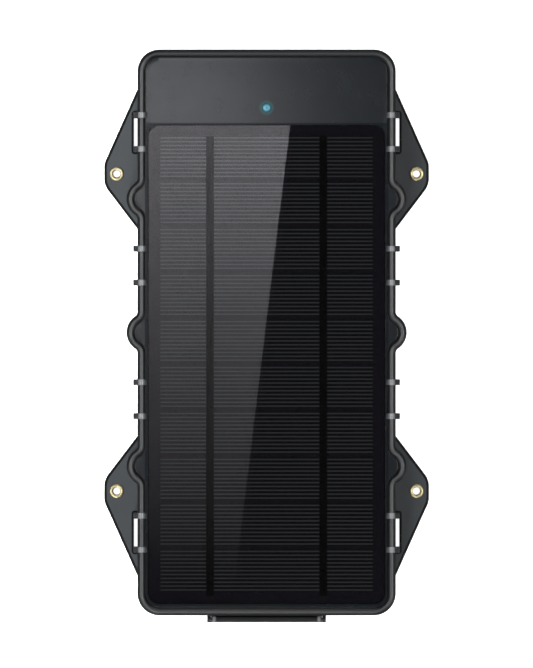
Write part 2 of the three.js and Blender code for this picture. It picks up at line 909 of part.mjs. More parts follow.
function makePowerKey() {
  const half = keyWidth / 2;
  const tall = keyHeight / 2;
  const cap = block(
    keyCentre - half,
    keyCentre + half,
    bayFloor - keyProud,
    keyFlangeStart + nib,
    bayMiddle - tall,
    bayMiddle + tall,
  );
  const flange = block(
    keyCentre - half - keyFlangeExtra,
    keyCentre + half + keyFlangeExtra,
    keyFlangeStart,
    keyFlangeStart + keyFlangeThickness,
    bayMiddle - tall - keyFlangeExtra,
    bayMiddle + tall + keyFlangeExtra,
  );
  const length = keyStemLength + 2 * nib;
  const stem = new THREE.CylinderGeometry(keyStemRadius, keyStemRadius, length, 12);
  const stemMiddle = keyStemEnd - length / 2;
  return joined(cap, flange, solid(stem, keyCentre, stemMiddle, bayMiddle));
}

function makeKeySwitch() {
  const start = plungerTip + switchPlungerLength;
  const body = block(
    keyCentre - switchWidth / 2,
    keyCentre + switchWidth / 2,
    start,
    start + switchLength,
    boardTop + partGap,
    bayMiddle + keyStemRadius + switchAboveStem,
  );
  const length = switchPlungerLength + 2 * nib;
  const plunger = new THREE.CylinderGeometry(keyStemRadius, keyStemRadius, length, 12);
  return joined(body, solid(plunger, keyCentre, plungerTip + length / 2, bayMiddle));
}

// Port cover: a plate hung on its pin, with a low plug that carries the seal

function makePortCover() {
  const half = frameHalfWidth - lugThickness - coverSideGap;
  const outer = hingeY - hingeRadius;
  const inner = hingeY + hingeRadius;
  const bottom = frameBottom + frameClearance;
  const plate = block(-half, half, outer, inner, bottom, hingeZ);
  const knuckle = crossBar(hingeRadius, -half, half, hingeY, hingeZ);
  const plugHalf = bayHalfWidth - portSealSideGap - portSealWall;
  const plug = block(
    -plugHalf,
    plugHalf,
    inner - nib,
    inner + coverPlugDepth,
    portSealBottom + portSealWall,
    portSealTop - portSealWall,
  );
  const bore = crossBar(pinRadius + pinClearance, -half - past, half + past, hingeY, hingeZ);
  return cut(joined(plate, knuckle, plug), bore);
}

const portSealBottom = bayBottom + portSealSideGap;
const portSealTop = bayTop - portSealSideGap;

function makePortSeal() {
  const start = hingeY + hingeRadius + partGap;
  const half = bayHalfWidth - portSealSideGap;
  const end = start + portSealDepth;
  const ring = block(-half, half, start, end, portSealBottom, portSealTop);
  const hole = block(
    -half + portSealWall - partGap,
    half - portSealWall + partGap,
    start - past,
    end + past,
    portSealBottom + portSealWall - partGap,
    portSealTop - portSealWall + partGap,
  );
  return cut(ring, hole);
}

// A round wire through a few points

function makeWire(points, steps) {
  const section = new THREE.Shape(arcPoints(0, 0, leadRadius, 0, 2 * Math.PI, 8).slice(0, -1));
  const path = new THREE.CatmullRomCurve3(points.map(([x, y, z]) => new THREE.Vector3(x, y, z)));
  return solid(new THREE.ExtrudeGeometry(section, { steps, extrudePath: path }));
}

// Battery, its pads, its protection board and leads

const batteryHalf = halfWidth - cavityInset - batterySideClearance;
const batteryStart = boardEnd + batteryBoardGap;
const batteryEnd = cavityEnd - batteryIndicatorGap;
const padTop = cavityFloor + layerGap + batteryPadThickness;
const foamBottom = ceilingLevel - layerGap - batteryPadThickness;
const protectionLevel = (padTop + foamBottom) / 2;

function makeBattery() {
  const outline = roundedRectangle(
    -batteryHalf,
    batteryHalf,
    batteryStart,
    batteryEnd,
    batteryCornerRadius,
  );
  const pad = roundedRectangle(
    -batteryHalf + batteryPadInset,
    batteryHalf - batteryPadInset,
    batteryStart + batteryPadInset,
    batteryEnd - batteryPadInset,
    batteryCornerRadius,
  );
  const pouch = softSlab(outline, padTop + layerGap, foamBottom - layerGap, batteryRound, 2);
  addPiece("battery_pouch", pouch, pouchSilver);
  addPiece("battery_pad", slab(pad, cavityFloor + layerGap, padTop), foamGrey);
  addPiece("battery_foam", slab(pad, foamBottom, ceilingLevel - layerGap), foamGrey);
  const boardFar = batteryStart - protectionBoardGap;
  const boardNear = boardFar - protectionBoardLength;
  const protectionBoard = block(
    -protectionBoardWidth / 2,
    protectionBoardWidth / 2,
    boardNear,
    boardFar,
    protectionLevel,
    protectionLevel + protectionBoardThickness,
  );
  addPiece("protection_board", protectionBoard, boardGreen);
  const leads = [
    { name: "battery_lead_red", x: -leadSpacing, material: redWire },
    { name: "battery_lead_black", x: -2 * leadSpacing, material: blackWire },
  ];
  for (const { name, x, material } of leads) {
    const lead = makeWire(
      [
        [x, boardNear + 1.5, protectionLevel - leadRadius - 0.15],
        [x, boardNear - 0.2, protectionLevel - leadRadius - 0.15],
        [x, boardEnd - 0.6, boardTop + leadRadius + 0.35],
        [x, boardEnd - 2.6, boardTop + leadRadius + 0.15],
      ],
      10,
    );
    addPiece(name, lead, material);
  }
}

// Main board and what sits on it

function makeMainBoard() {
  const board = block(
    -boardHalfWidth,
    boardHalfWidth,
    boardStart,
    boardEnd,
    boardBottom,
    boardTop,
  );
  const holes = boardScrewPlaces.map(({ x, y }) =>
    uprightCylinder(boardScrewRadius + screwClearance, x, y, boardBottom - past, boardTop + past),
  );
  addPiece("main_board", cut(board, ...holes), boardGreen);
  for (const place of boardScrewPlaces) {
    const screw = makeScrew(
      place,
      boardBottom - partGap - boardScrewHeadHeight,
      boardScrewHeadRadius,
      boardScrewHeadHeight,
      boardScrewRadius,
      boardScrewTip,
    );
    addPiece(place.name, screw, steel);
  }
  const seat = boardTop + partGap;
  const chipX = keyCentre - chipSize;
  const chipY = boardEnd - chipFromBoardEnd - chipSize / 2;
  const chip = block(
    chipX - chipSize / 2,
    chipX + chipSize / 2,
    chipY - chipSize / 2,
    chipY + chipSize / 2,
    seat,
    seat + chipThickness,
  );
  addPiece("charge_chip", chip, chipBlack);
  const inductorX = chipX - chipSize / 2 - inductorRadius - inductorFromChip;
  const inductor = uprightCylinder(inductorRadius, inductorX, chipY, seat, seat + inductorHeight);
  addPiece("boost_inductor", inductor, chipBlack);
}

// Indicator: a light pipe in the face, over an LED on its own small board

function makeIndicator() {
  const pipe = turned(
    [
      [0, pipeBottom],
      [pipeFlangeRadius, pipeBottom],
      [pipeFlangeRadius, pocketTop - partGap],
      [pipeRadius, pocketTop - partGap],
      [pipeRadius, faceLevel - partGap],
      [pipeRadius - pipeDomeRound, faceLevel + pipeDomeHeight - partGap],
      [0, faceLevel + pipeDomeHeight],
    ],
    0,
    indicatorY,
  );
  addPiece("indicator_light_pipe", pipe, glowBlue);
  const top = boardSeat - partGap;
  const board = block(
    -indicatorBoardWidth / 2,
    indicatorBoardWidth / 2,
    indicatorY - indicatorBoardLength / 2,
    indicatorY + indicatorBoardLength / 2,
    top - indicatorBoardThickness,
    top,
  );
  addPiece("indicator_board", board, boardGreen);
  const half = indicatorLedSize / 2;
  const led = block(
    -half,
    half,
    indicatorY - half,
    indicatorY + half,
    top + partGap / 2,
    pipeBottom - partGap / 2,
  );
  addPiece("indicator_led", led, tapeWhite);
  const gutter = halfWidth - cavityInset - batterySideClearance / 2;
  const lead = makeWire(
    [
      [boardHalfWidth - 2, boardEnd - 1.5, boardTop + leadRadius + 0.2],
      [gutter - 0.4, boardEnd + 1.5, boardTop + leadRadius + 0.6],
      [gutter, batteryStart + 4, protectionLevel],
      [gutter, (batteryStart + batteryEnd) / 2, protectionLevel],
      [gutter, batteryEnd - 8, protectionLevel],
      [gutter - 0.3, batteryEnd + 1.5, protectionLevel],
      [gutter - 5, batteryEnd + 8, protectionLevel + 1],
      [indicatorBoardWidth / 2 + 3, indicatorY, top - indicatorBoardThickness - 2],
      [indicatorBoardWidth / 2 - 2, indicatorY, top - indicatorBoardThickness - leadRadius - 0.2],
    ],
    24,
  );
  addPiece("indicator_lead", lead, blackWire);
}

addPiece("back_shell", makeBackShell(), backPlastic);
addPiece("front_shell", makeFrontShell(), shellPlastic);
addPiece("edge_bumper", makeBumper(), bumperRubber);
const sealFoot = backThickness - sealGrooveDepth + layerGap;
addPiece("shell_seal", sealRing(sealClearance, sealFoot, shellBottom - layerGap), sealRubber);
makePanel();
addPiece("panel_lead", makePanelLead(), blackWire);
eyeletPlaces.forEach((place) => addPiece(place.name, makeEyelet(place), brass));
for (const place of screwPlaces) {
  const screw = makeScrew(
    place,
    screwHeadSink,
    screwHeadRadius,
    screwHeadHeight,
    screwShankRadius,
    screwTip,
  );
  addPiece(place.name, screw, steel);
}
makeMainBoard();
addPiece("usb_a_socket", makeUsbASocket(), steel);
addPiece("usb_c_socket", makeUsbCSocket(), steel);
addPiece("power_key", makePowerKey(), keyGrey);
addPiece("key_switch", makeKeySwitch(), chipBlack);
makeBattery();
makeIndicator();
addPiece("port_cover", makePortCover(), bumperRubber);
addPiece("port_seal", makePortSeal(), sealRubber);
const pinEnd = frameHalfWidth - pinSink;
addPiece("port_cover_pin", crossBar(pinRadius, -pinEnd, pinEnd, hingeY, hingeZ), steel);

export default charger;
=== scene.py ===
import json
import math

import bmesh
import bpy
from mathutils import Matrix, Vector

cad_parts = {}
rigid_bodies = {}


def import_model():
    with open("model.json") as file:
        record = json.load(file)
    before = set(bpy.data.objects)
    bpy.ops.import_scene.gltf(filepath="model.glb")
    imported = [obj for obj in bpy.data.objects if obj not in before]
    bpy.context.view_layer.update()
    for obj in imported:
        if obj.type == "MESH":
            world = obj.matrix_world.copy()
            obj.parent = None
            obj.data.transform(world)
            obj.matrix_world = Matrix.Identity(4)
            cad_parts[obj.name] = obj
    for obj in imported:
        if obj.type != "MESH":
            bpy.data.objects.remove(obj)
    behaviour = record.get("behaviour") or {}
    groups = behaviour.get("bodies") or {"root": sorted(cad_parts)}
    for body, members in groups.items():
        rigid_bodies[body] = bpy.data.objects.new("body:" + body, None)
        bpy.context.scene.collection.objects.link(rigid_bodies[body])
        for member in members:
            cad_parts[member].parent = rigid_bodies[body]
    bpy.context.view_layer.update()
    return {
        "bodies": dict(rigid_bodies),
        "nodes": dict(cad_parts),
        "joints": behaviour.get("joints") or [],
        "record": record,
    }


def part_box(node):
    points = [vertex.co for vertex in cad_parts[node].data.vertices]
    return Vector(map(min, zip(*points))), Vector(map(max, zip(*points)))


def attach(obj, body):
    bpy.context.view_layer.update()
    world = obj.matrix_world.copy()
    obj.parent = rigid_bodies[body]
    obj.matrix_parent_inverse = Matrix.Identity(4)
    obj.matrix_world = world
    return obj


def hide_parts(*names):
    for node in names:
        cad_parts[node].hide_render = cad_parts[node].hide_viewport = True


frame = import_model()
mm = 0.001
nodes = frame["nodes"]


# ---- places that everything else is worked out from

def middle(node):
    low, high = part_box(node)
    return (low + high) / 2


def span(node):
    low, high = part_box(node)
    return high - low


case = {
    "lobeCentreInset": 2.4 * mm,  # from the straight side in to the middle of a screw
    "lobeFillet": 1.5 * mm,
    "corner": 6.2 * mm,
    "bumperWall": 2.2 * mm,
    "bumperGap": 0.2 * mm,
    "beadHeight": 0.8 * mm,  # crest of the bead above the face
}
screws = sorted(name for name in nodes if name.startswith("case_screw"))
eyelets = sorted(name for name in nodes if name.startswith("eyelet"))
cells = sorted(name for name in nodes if name.startswith("solar_cell"))
screwX = max(middle(name).x for name in screws)
lobeStations = sorted({round(middle(name).y, 6) for name in screws})
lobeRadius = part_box("edge_bumper")[1].x - screwX
halfWidth = screwX + case["lobeCentreInset"]
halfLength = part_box("edge_bumper")[1].y
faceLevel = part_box("front_shell")[1].z
crestLevel = faceLevel + case["beadHeight"]
shellInset = case["bumperWall"] + case["bumperGap"]
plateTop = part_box("back_shell")[1].z
sideStep = lobeStations[2] / 2  # the rhythm of lobes and ribs along the side


# ---- outlines and solids

def arc(centreX, centreY, radius, start, end, steps):
    turn = [start + (end - start) * step / steps for step in range(steps + 1)]
    return [(centreX + radius * math.cos(a), centreY + radius * math.sin(a)) for a in turn]


def lobeArc(station, inset):
    filletX = halfWidth + case["lobeFillet"]
    across = case["lobeCentreInset"] + case["lobeFillet"]
    along = math.sqrt((lobeRadius + case["lobeFillet"]) ** 2 - across ** 2)
    spread = math.atan2(along, across)
    hollow = case["lobeFillet"] + inset
    lower = arc(filletX, station - along, hollow, math.pi, math.pi - spread, 9)
    crown = arc(screwX, station, lobeRadius - inset, -spread, spread, 24)[1:-1]
    upper = arc(filletX, station + along, hollow, math.pi + spread, math.pi, 9)
    return lower + crown + upper


# the case seen from the front, moved in by inset, with the same number of points at any inset
def caseOutline(inset):
    cornerX = halfWidth - case["corner"]
    cornerY = halfLength - case["corner"]
    radius = case["corner"] - inset
    side = [point for station in lobeStations for point in lobeArc(station, inset)]
    quarter = math.pi / 2
    points = arc(cornerX, -cornerY, radius, -quarter, 0, 14) + side
    points += arc(cornerX, cornerY, radius, 0, quarter, 14)
    points += arc(-cornerX, cornerY, radius, quarter, 2 * quarter, 14)
    points += [(-x, y) for x, y in reversed(side)]
    points += arc(-cornerX, -cornerY, radius, 2 * quarter, 3 * quarter, 14)
    return points


def roundedBox(x0, x1, y0, y1, radius, steps=8):
    radius = max(radius, 0.01 * mm)
    quarter = math.pi / 2
    points = arc(x1 - radius, y0 + radius, radius, -quarter, 0, steps)
    points += arc(x1 - radius, y1 - radius, radius, 0, quarter, steps)
    points += arc(x0 + radius, y1 - radius, radius, quarter, 2 * quarter, steps)
    points += arc(x0 + radius, y0 + radius, radius, 2 * quarter, 3 * quarter, steps)
    return points


# a convex outline with its corners rounded, moved in by inset
def roundedCorners(corners, radii, inset, steps=8):
    points = []
    count = len(corners)
    for index, corner in enumerate(corners):
        before = (Vector(corners[index - 1]) - Vector(corner)).normalized()
        after = (Vector(corners[(index + 1) % count]) - Vector(corner)).normalized()
        half = before.angle(after) / 2
        centre = Vector(corner) + (before + after).normalized() * radii[index] / math.sin(half)
        outward = -(before + after).normalized()
        facing = math.atan2(outward.y, outward.x)
        sweep = math.pi / 2 - half
        radius = radii[index] - inset
        points += arc(centre.x, centre.y, radius, facing - sweep, facing + sweep, steps)
    return points


def pieceFrom(name, mesh):
    data = bpy.data.meshes.new(name)
    mesh.to_mesh(data)
    mesh.free()
    piece = bpy.data.objects.new(name, data)
    bpy.context.scene.collection.objects.link(piece)
    return piece


# loops of points joined one to the next, capped at both ends or closed on itself
def loft(name, loops, closed=False):
    mesh = bmesh.new()
    rows = [[mesh.verts.new(point) for point in loop] for loop in loops]
    count = len(rows[0])
    pairs = list(zip(rows, rows[1:]))
    if closed:
        pairs.append((rows[-1], rows[0]))
    for low, high in pairs:
        for index in range(count):
            after = (index + 1) % count
            mesh.faces.new((low[index], low[after], high[after], high[index]))
    if not closed:
        mesh.faces.new(rows[0])
        mesh.faces.new(rows[-1])
    bmesh.ops.recalc_face_normals(mesh, faces=mesh.faces)
    return pieceFrom(name, mesh)


# insets and levels of a slab whose two rims are rounded
def softRims(bottom, top, lowRound, highRound, steps=5):
    rims = []
    for step in range(steps + 1):
        angle = math.pi / 2 * step / steps
        rims.append((lowRound * (1 - math.sin(angle)), bottom + lowRound * (1 - math.cos(angle))))
    for step in range(steps + 1):
        angle = math.pi / 2 * step / steps
        rims.append((highRound * (1 - math.cos(angle)), top - highRound * (1 - math.sin(angle))))
    return rims


def slab(name, outline, bottom, top, lowRound=0, highRound=0):
    if lowRound or highRound:
        rims = softRims(bottom, top, max(lowRound, 0.005 * mm), max(highRound, 0.005 * mm))
    else:
        rims = [(0, bottom), (0, top)]
    return loft(name, [[(x, y, level) for x, y in outline(inset)] for inset, level in rims])


# the same, standing on its edge: the outline is in X and Z, and it runs along Y
def standing(name, outline, front, back, frontRound=0, backRound=0):
    piece = slab(name, outline, front, back, frontRound, backRound)
    turn = Matrix(((1, 0, 0, 0), (0, 0, 1, 0), (0, 1, 0, 0), (0, 0, 0, 1)))
    piece.data.transform(turn)
    piece.data.flip_normals()
    return piece


# a block between two corners, its sides moved in by wall, running along Y from front to back
def standingBox(name, low, high, wall, radius, front, back, frontRound=0, backRound=0, steps=8):
    def outline(inset):
        more = wall + inset
        sides = (low.x + more, high.x - more, low.z + more, high.z - more)
        return roundedBox(*sides, radius - inset, steps)

    return standing(name, outline, front, back, frontRound, backRound)


# the corners of a block round a middle, given how far it reaches to the side and up
def around(centre, across, up):
    reach = Vector((across, 0, up))
    return centre - reach, centre + reach


# a profile of (radius, level) points turned about an upright axis, pointed at both ends
def turned(name, profile, x, y, steps=48):
    loops = []
    for radius, level in profile:
        circle = arc(x, y, max(radius, 0.001 * mm), 0, 2 * math.pi, steps)[:-1]
        loops.append([(px, py, level) for px, py in circle])
    return loft(name, loops)


def bar(name, x0, x1, y, z, radius, endRound=0, steps=32):
    rims = softRims(x0, x1, max(endRound, 0.005 * mm), max(endRound, 0.005 * mm), 3)
    loops = []
    for inset, along in rims:
        circle = arc(y, z, radius - inset, 0, 2 * math.pi, steps)[:-1]
        loops.append([(along, py, pz) for py, pz in circle])
    return loft(name, loops)


def blockOf(name, x0, x1, y0, y1, z0, z1, radius=0, rim=0):
    def outline(inset):
        return roundedBox(x0 + inset, x1 - inset, y0 + inset, y1 - inset, radius - inset, 4)

    return slab(name, outline, z0, z1, rim, rim)


def applyAll(piece):
    graph = bpy.context.evaluated_depsgraph_get()
    made = bpy.data.meshes.new_from_object(piece.evaluated_get(graph))
    piece.modifiers.clear()
    piece.data = made
    return piece


# cuts the tools out of a piece, or joins them to it, all at once
def carve(piece, tools, operation="DIFFERENCE"):
    group = bpy.data.collections.new("tools")
    bpy.context.scene.collection.children.link(group)
    for tool in tools:
        for home in tool.users_collection:
            home.objects.unlink(tool)
        group.objects.link(tool)
    modifier = piece.modifiers.new("carve", "BOOLEAN")
    modifier.operation = operation
    modifier.operand_type = "COLLECTION"
    modifier.solver = "EXACT"
    modifier.collection = group
    applyAll(piece)
    for tool in tools:
        bpy.data.objects.remove(tool)
    bpy.data.collections.remove(group)
    return piece


# smooth over the rounds, flat on the flats, sharp at the corners
def smooth(piece, angle=38):
    piece.data.shade_smooth()
    piece.data.set_sharp_from_angle(angle=math.radians(angle))
    modifier = piece.modifiers.new("flats", "WEIGHTED_NORMAL")
    modifier.keep_sharp = True
    modifier.weight = 80
    return applyAll(piece)


def finishPiece(piece, material, slotName, body, *replaced):
    piece.data.materials.clear()
    piece.data.materials.append(material)
    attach(piece, body)
    if replaced:
        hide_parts(*replaced)
    return piece


# ---- nodes

def addNode(tree, kind, values=None, links=None, **attributes):
    node = tree.nodes.new(kind)
    for name, value in attributes.items():
        setattr(node, name, value)
    for name, value in (values or {}).items():
        node.inputs[name].default_value = value
    for name, socket in (links or {}).items():
        tree.links.new(socket, node.inputs[name])
    return node


# a maths node whose inputs are numbers or other nodes' outputs
def calculate(tree, operation, *given, kind="ShaderNodeMath"):
    node = addNode(tree, kind, operation=operation)
    for place, value in enumerate(given):
        if isinstance(value, bpy.types.NodeSocket):
            tree.links.new(value, node.inputs[place])
        else:
            node.inputs[place].default_value = value
    return node.outputs["Value" if operation == "LENGTH" else 0]


def vectorCalculate(tree, operation, *given):
    return calculate(tree, operation, *given, kind="ShaderNodeVectorMath")


def scaled(tree, vector, amount):
    links = {"Vector": vector, "Scale": amount}
    return addNode(tree, "ShaderNodeVectorMath", None, links, operation="SCALE").outputs[0]


def alongX(tree, value):
    return addNode(tree, "ShaderNodeCombineXYZ", None, {"X": value}).outputs[0]


# copies of a piece on a row of points
def rowOfCopies(tree, count, start, step, piece, turn=None):
    links = {"Count": count, "Start Location": start, "Offset": step}
    line = addNode(tree, "GeometryNodeMeshLine", None, links)
    links = {"Points": line.outputs[0], "Instance": piece}
    if turn:
        links["Rotation"] = turn
    return addNode(tree, "GeometryNodeInstanceOnPoints", None, links).outputs[0]


# repeats one piece along two lines, and on one or both sides of the case
def repeatTree():
    tree = bpy.data.node_groups.new("repeatAlongCase", "GeometryNodeTree")
    sockets = tree.interface
    sockets.new_socket("Geometry", in_out="OUTPUT", socket_type="NodeSocketGeometry")
    wanted = {"Piece": "Object", "Finish": "Material", "Place": "Vector", "Side Offset": "Float"}
    wanted.update({"Sides": "Int", "Near Count": "Int", "Near Step": "Vector"})
    wanted.update({"Far Count": "Int", "Far Step": "Vector"})
    for name, kind in wanted.items():
        sockets.new_socket(name, in_out="INPUT", socket_type="NodeSocket" + kind)
    given = tree.nodes.new("NodeGroupInput").outputs
    source = addNode(tree, "GeometryNodeObjectInfo", {"As Instance": True}, {"Object": given["Piece"]})
    repeated = source.outputs["Geometry"]
    for level in ("Near", "Far"):
        count = given[f"{level} Count"]
        step = given[f"{level} Step"]
        start = scaled(tree, step, calculate(tree, "MULTIPLY_ADD", count, -0.5, 0.5))
        repeated = rowOfCopies(tree, count, start, step, repeated)
    others = calculate(tree, "SUBTRACT", given["Sides"], 1)
    reach = calculate(tree, "MULTIPLY", others, given["Side Offset"])
    start = alongX(tree, calculate(tree, "MULTIPLY", reach, -1))
    step = alongX(tree, calculate(tree, "MULTIPLY", reach, 2))
    index = tree.nodes.new("GeometryNodeInputIndex").outputs[0]
    onLeft = calculate(tree, "SUBTRACT", others, index)
    halfTurn = calculate(tree, "MULTIPLY", onLeft, math.pi)
    turn = addNode(tree, "ShaderNodeCombineXYZ", None, {"Z": halfTurn})
    rotation = addNode(tree, "FunctionNodeEulerToRotation", None, {0: turn.outputs[0]})
    repeated = rowOfCopies(tree, given["Sides"], start, step, repeated, rotation.outputs[0])
    for kind, links in [
        ("GeometryNodeRealizeInstances", {}),
        ("GeometryNodeTransform", {"Translation": given["Place"]}),
        ("GeometryNodeSetMaterial", {"Material": given["Finish"]}),
    ]:
        repeated = addNode(tree, kind, None, {"Geometry": repeated, **links}).outputs[0]
    out = tree.nodes.new("NodeGroupOutput")
    tree.links.new(repeated, out.inputs["Geometry"])
    return tree


repeatNodes = repeatTree()


def repeatPiece(name, source, finish, place, near, far, sides=1, sideOffset=0.0):
    piece = bpy.data.objects.new(name, bpy.data.meshes.new(name))
    bpy.context.scene.collection.objects.link(piece)
    modifier = piece.modifiers.new("repeat", "NODES")
    modifier.node_group = repeatNodes
    values = {
        "Piece": source,
        "Finish": finish,
        "Place": place,
        "Near Count": near[0],
        "Near Step": near[1],
        "Far Count": far[0],
        "Far Step": far[1],
        "Sides": sides,
        "Side Offset": sideOffset,
    }
    for item in repeatNodes.interface.items_tree:
        if item.name in values:
            modifier[item.identifier] = values[item.name]
    applyAll(piece)
    bpy.data.objects.remove(source)
    return piece


# ---- materials

def linear(hexColour, alpha=1.0):
    parts = [int(hexColour[place:place + 2], 16) / 255 for place in (1, 3, 5)]
    curved = [part / 12.92 if part <= 0.04045 else ((part + 0.055) / 1.055) ** 2.4 for part in parts]
    return (*curved, alpha)


def newMaterial(name, sockets=None):
    material = bpy.data.materials.new(name)
    material.use_nodes = True
    tree = material.node_tree
    shader = tree.nodes["Principled BSDF"]
    for label, value in (sockets or {}).items():
        shader.inputs[label].default_value = value
    return material, tree, shader


def objectPlace(tree):
    return tree.nodes.new("ShaderNodeTexCoord").outputs["Object"]


def split(tree, vector):
    return addNode(tree, "ShaderNodeSeparateXYZ", None, {0: vector}).outputs


# a value carried from one range to another, and held at its ends
def carried(tree, value, start, end, low=0.0, high=1.0, curve="LINEAR"):
    limits = {"From Min": start, "From Max": end, "To Min": low, "To Max": high}
    node = addNode(tree, "ShaderNodeMapRange", limits, {"Value": value}, interpolation_type=curve)
    return node.outputs[0]


def mixed(tree, share, low, high):
    mix = addNode(tree, "ShaderNodeMix", None, {"Factor": share}, data_type="RGBA")
    for place, colour in ((6, low), (7, high)):
        if isinstance(colour, bpy.types.NodeSocket):
            tree.links.new(colour, mix.inputs[place])
        else:
            mix.inputs[place].default_value = colour
    return mix.outputs[2]


def ramped(tree, value, stops):
    ramp = addNode(tree, "ShaderNodeValToRGB", None, {"Fac": value})
    elements = ramp.color_ramp.elements
    for place, colour in stops[1:-1]:
        elements.new(place)
    for element, (place, colour) in zip(elements, stops):
        element.position = place
        element.color = colour
    return ramp.outputs["Color"]


# Object coordinates stretched so that one unit is size metres
def coordinates(tree, size, stretch=(1, 1, 1)):
    scale = [factor / size for factor in stretch]
    mapping = addNode(tree, "ShaderNodeMapping", {"Scale": scale}, {"Vector": objectPlace(tree)})
    return mapping.outputs[0]


def noiseAt(tree, place, detail):
    values = {"Scale": 1.0, "Detail": detail}
    return addNode(tree, "ShaderNodeTexNoise", values, {"Vector": place}).outputs["Fac"]


def colourSpread(tree, shader, place, low, high):
    colour = mixed(tree, noiseAt(tree, place, 3.0), linear(low), linear(high))
    tree.links.new(colour, shader.inputs["Base Color"])


def roughSpread(tree, shader, place, low, high):
    rough = carried(tree, noiseAt(tree, place, 4.0), 0.3, 0.7, low, high)
    tree.links.new(rough, shader.inputs["Roughness"])


def grainBump(tree, shader, place, depth):
    height = {"Height": noiseAt(tree, place, 2.0)}
    bump = addNode(tree, "ShaderNodeBump", {"Distance": depth, "Strength": 1.0}, height)
    tree.links.new(bump.outputs[0], shader.inputs["Normal"])


# moulded plastic or rubber: an even colour, a spark-eroded grain and a slightly uneven gloss
def moulded(name, low, high, rough, grain, depth):
    material, tree, shader = newMaterial(name)
    colourSpread(tree, shader, coordinates(tree, 9 * mm), low, high)
    roughSpread(tree, shader, coordinates(tree, 4 * mm), *rough)
    grainBump(tree, shader, coordinates(tree, grain), depth)
    return material


def metal(name, low, high, rough, brush):
    material, tree, shader = newMaterial(name, {"Metallic": 1.0})
    colourSpread(tree, shader, coordinates(tree, 1.5 * mm), low, high)
    roughSpread(tree, shader, coordinates(tree, 0.6 * mm, brush), *rough)
    grainBump(tree, shader, coordinates(tree, 0.3 * mm, brush), 0.004 * mm)
    return material


# satin graphite PC-ABS, spark-eroded: a fine even grain that spreads the gloss of the face
facePlastic, faceTree, faceShader = newMaterial("mouldedGraphitePlastic", {"IOR": 1.5})
colourSpread(faceTree, faceShader, coordinates(faceTree, 12 * mm), "#0b0f13", "#0f1317")
roughSpread(faceTree, faceShader, coordinates(faceTree, 5 * mm), 0.25, 0.28)
grainBump(faceTree, faceShader, coordinates(faceTree, 0.35 * mm), 0.0007 * mm)


# the same plastic for the back, with painted shade: its sides, chamfers, slot steps and hole walls are
# painted dark, so its open faces stand paler
def shadePaintedPlate(name, top, edge, under):
    material, tree, shader = newMaterial(name)
    share = calculate(tree, "DIVIDE", split(tree, objectPlace(tree))["Z"], plateTop)
    # painted shade: dark from just above the back face to just below the top face
    levels = [(0.01, under), (0.08, edge), (0.97, edge), (0.99, top)]
    colour = ramped(tree, share, [(level, linear(shade)) for level, shade in levels])
    cloud = noiseAt(tree, coordinates(tree, 9 * mm), 3.0)
    shade = scaled(tree, colour, carried(tree, cloud, 0.0, 1.0, 0.94, 1.06))
    tree.links.new(shade, shader.inputs["Base Color"])
    gloss = carried(tree, share, 0.96, 0.99, 0.15, 0.42)
    tree.links.new(gloss, shader.inputs["Specular IOR Level"])
    roughSpread(tree, shader, coordinates(tree, 4 * mm), 0.46, 0.54)
    grainBump(tree, shader, coordinates(tree, 0.45 * mm), 0.004 * mm)
    return material


backPlastic = shadePaintedPlate("sparkErodedGraphitePlastic", "#3d4144", "#0c0d0e", "#2b2d2f")


# elastomer with a painted highlight: paler along its crest, from the height where the highlight starts
def crestHighlightRubber(name, side, crest, rough, start, full, armHighlight=1.0):
    material, tree, shader = newMaterial(name)
    parts = split(tree, objectPlace(tree))
    # painted highlight, rising to full at the crest and weaker along the inboard arm
    highlightShare = carried(tree, parts["Z"], start, full, curve="SMOOTHSTEP")
    out = calculate(tree, "ABSOLUTE", parts["X"])
    armEnd, armStart = halfWidth - 2.7 * mm, halfWidth - 1.2 * mm
    inboard = carried(tree, out, armEnd, armStart, armHighlight, curve="SMOOTHSTEP")
    share = calculate(tree, "MULTIPLY", highlightShare, inboard)
    tree.links.new(mixed(tree, share, linear(side), linear(crest)), shader.inputs["Base Color"])
    roughSpread(tree, shader, coordinates(tree, 3 * mm), *rough)
    grainBump(tree, shader, coordinates(tree, 0.3 * mm), 0.002 * mm)
    return material


# the bead's crest highlight is painted from just below the crest
highlightFrom = crestLevel - 0.18 * mm
bumperRubber = crestHighlightRubber(
    "satinBlackElastomer", "#0c0d0e", "#26282a", (0.38, 0.44), highlightFrom, crestLevel
)


# the bead takes less gloss at the indicator end
def dullEnd(material, gloss, dull):
    tree = material.node_tree
    along = split(tree, objectPlace(tree))["Y"]
    share = carried(tree, along, halfLength - 4 * mm, halfLength - 1.5 * mm, gloss, dull)
    tree.links.new(share, tree.nodes["Principled BSDF"].inputs["Specular IOR Level"])


dullEnd(bumperRubber, 0.65, 0.3)
# the ribs' crest highlight is painted paler still
crestHighlight = (faceLevel + 0.25 * mm, crestLevel + 0.25 * mm)
ribRubber = crestHighlightRubber("ribHighlightElastomer", "#2c2e30", "#6c6e70", (0.2, 0.26), *crestHighlight, 0.2)
coverRubber = moulded("matteBlackElastomer", "#0e1011", "#131517", (0.42, 0.5), 0.3 * mm, 0.006 * mm)


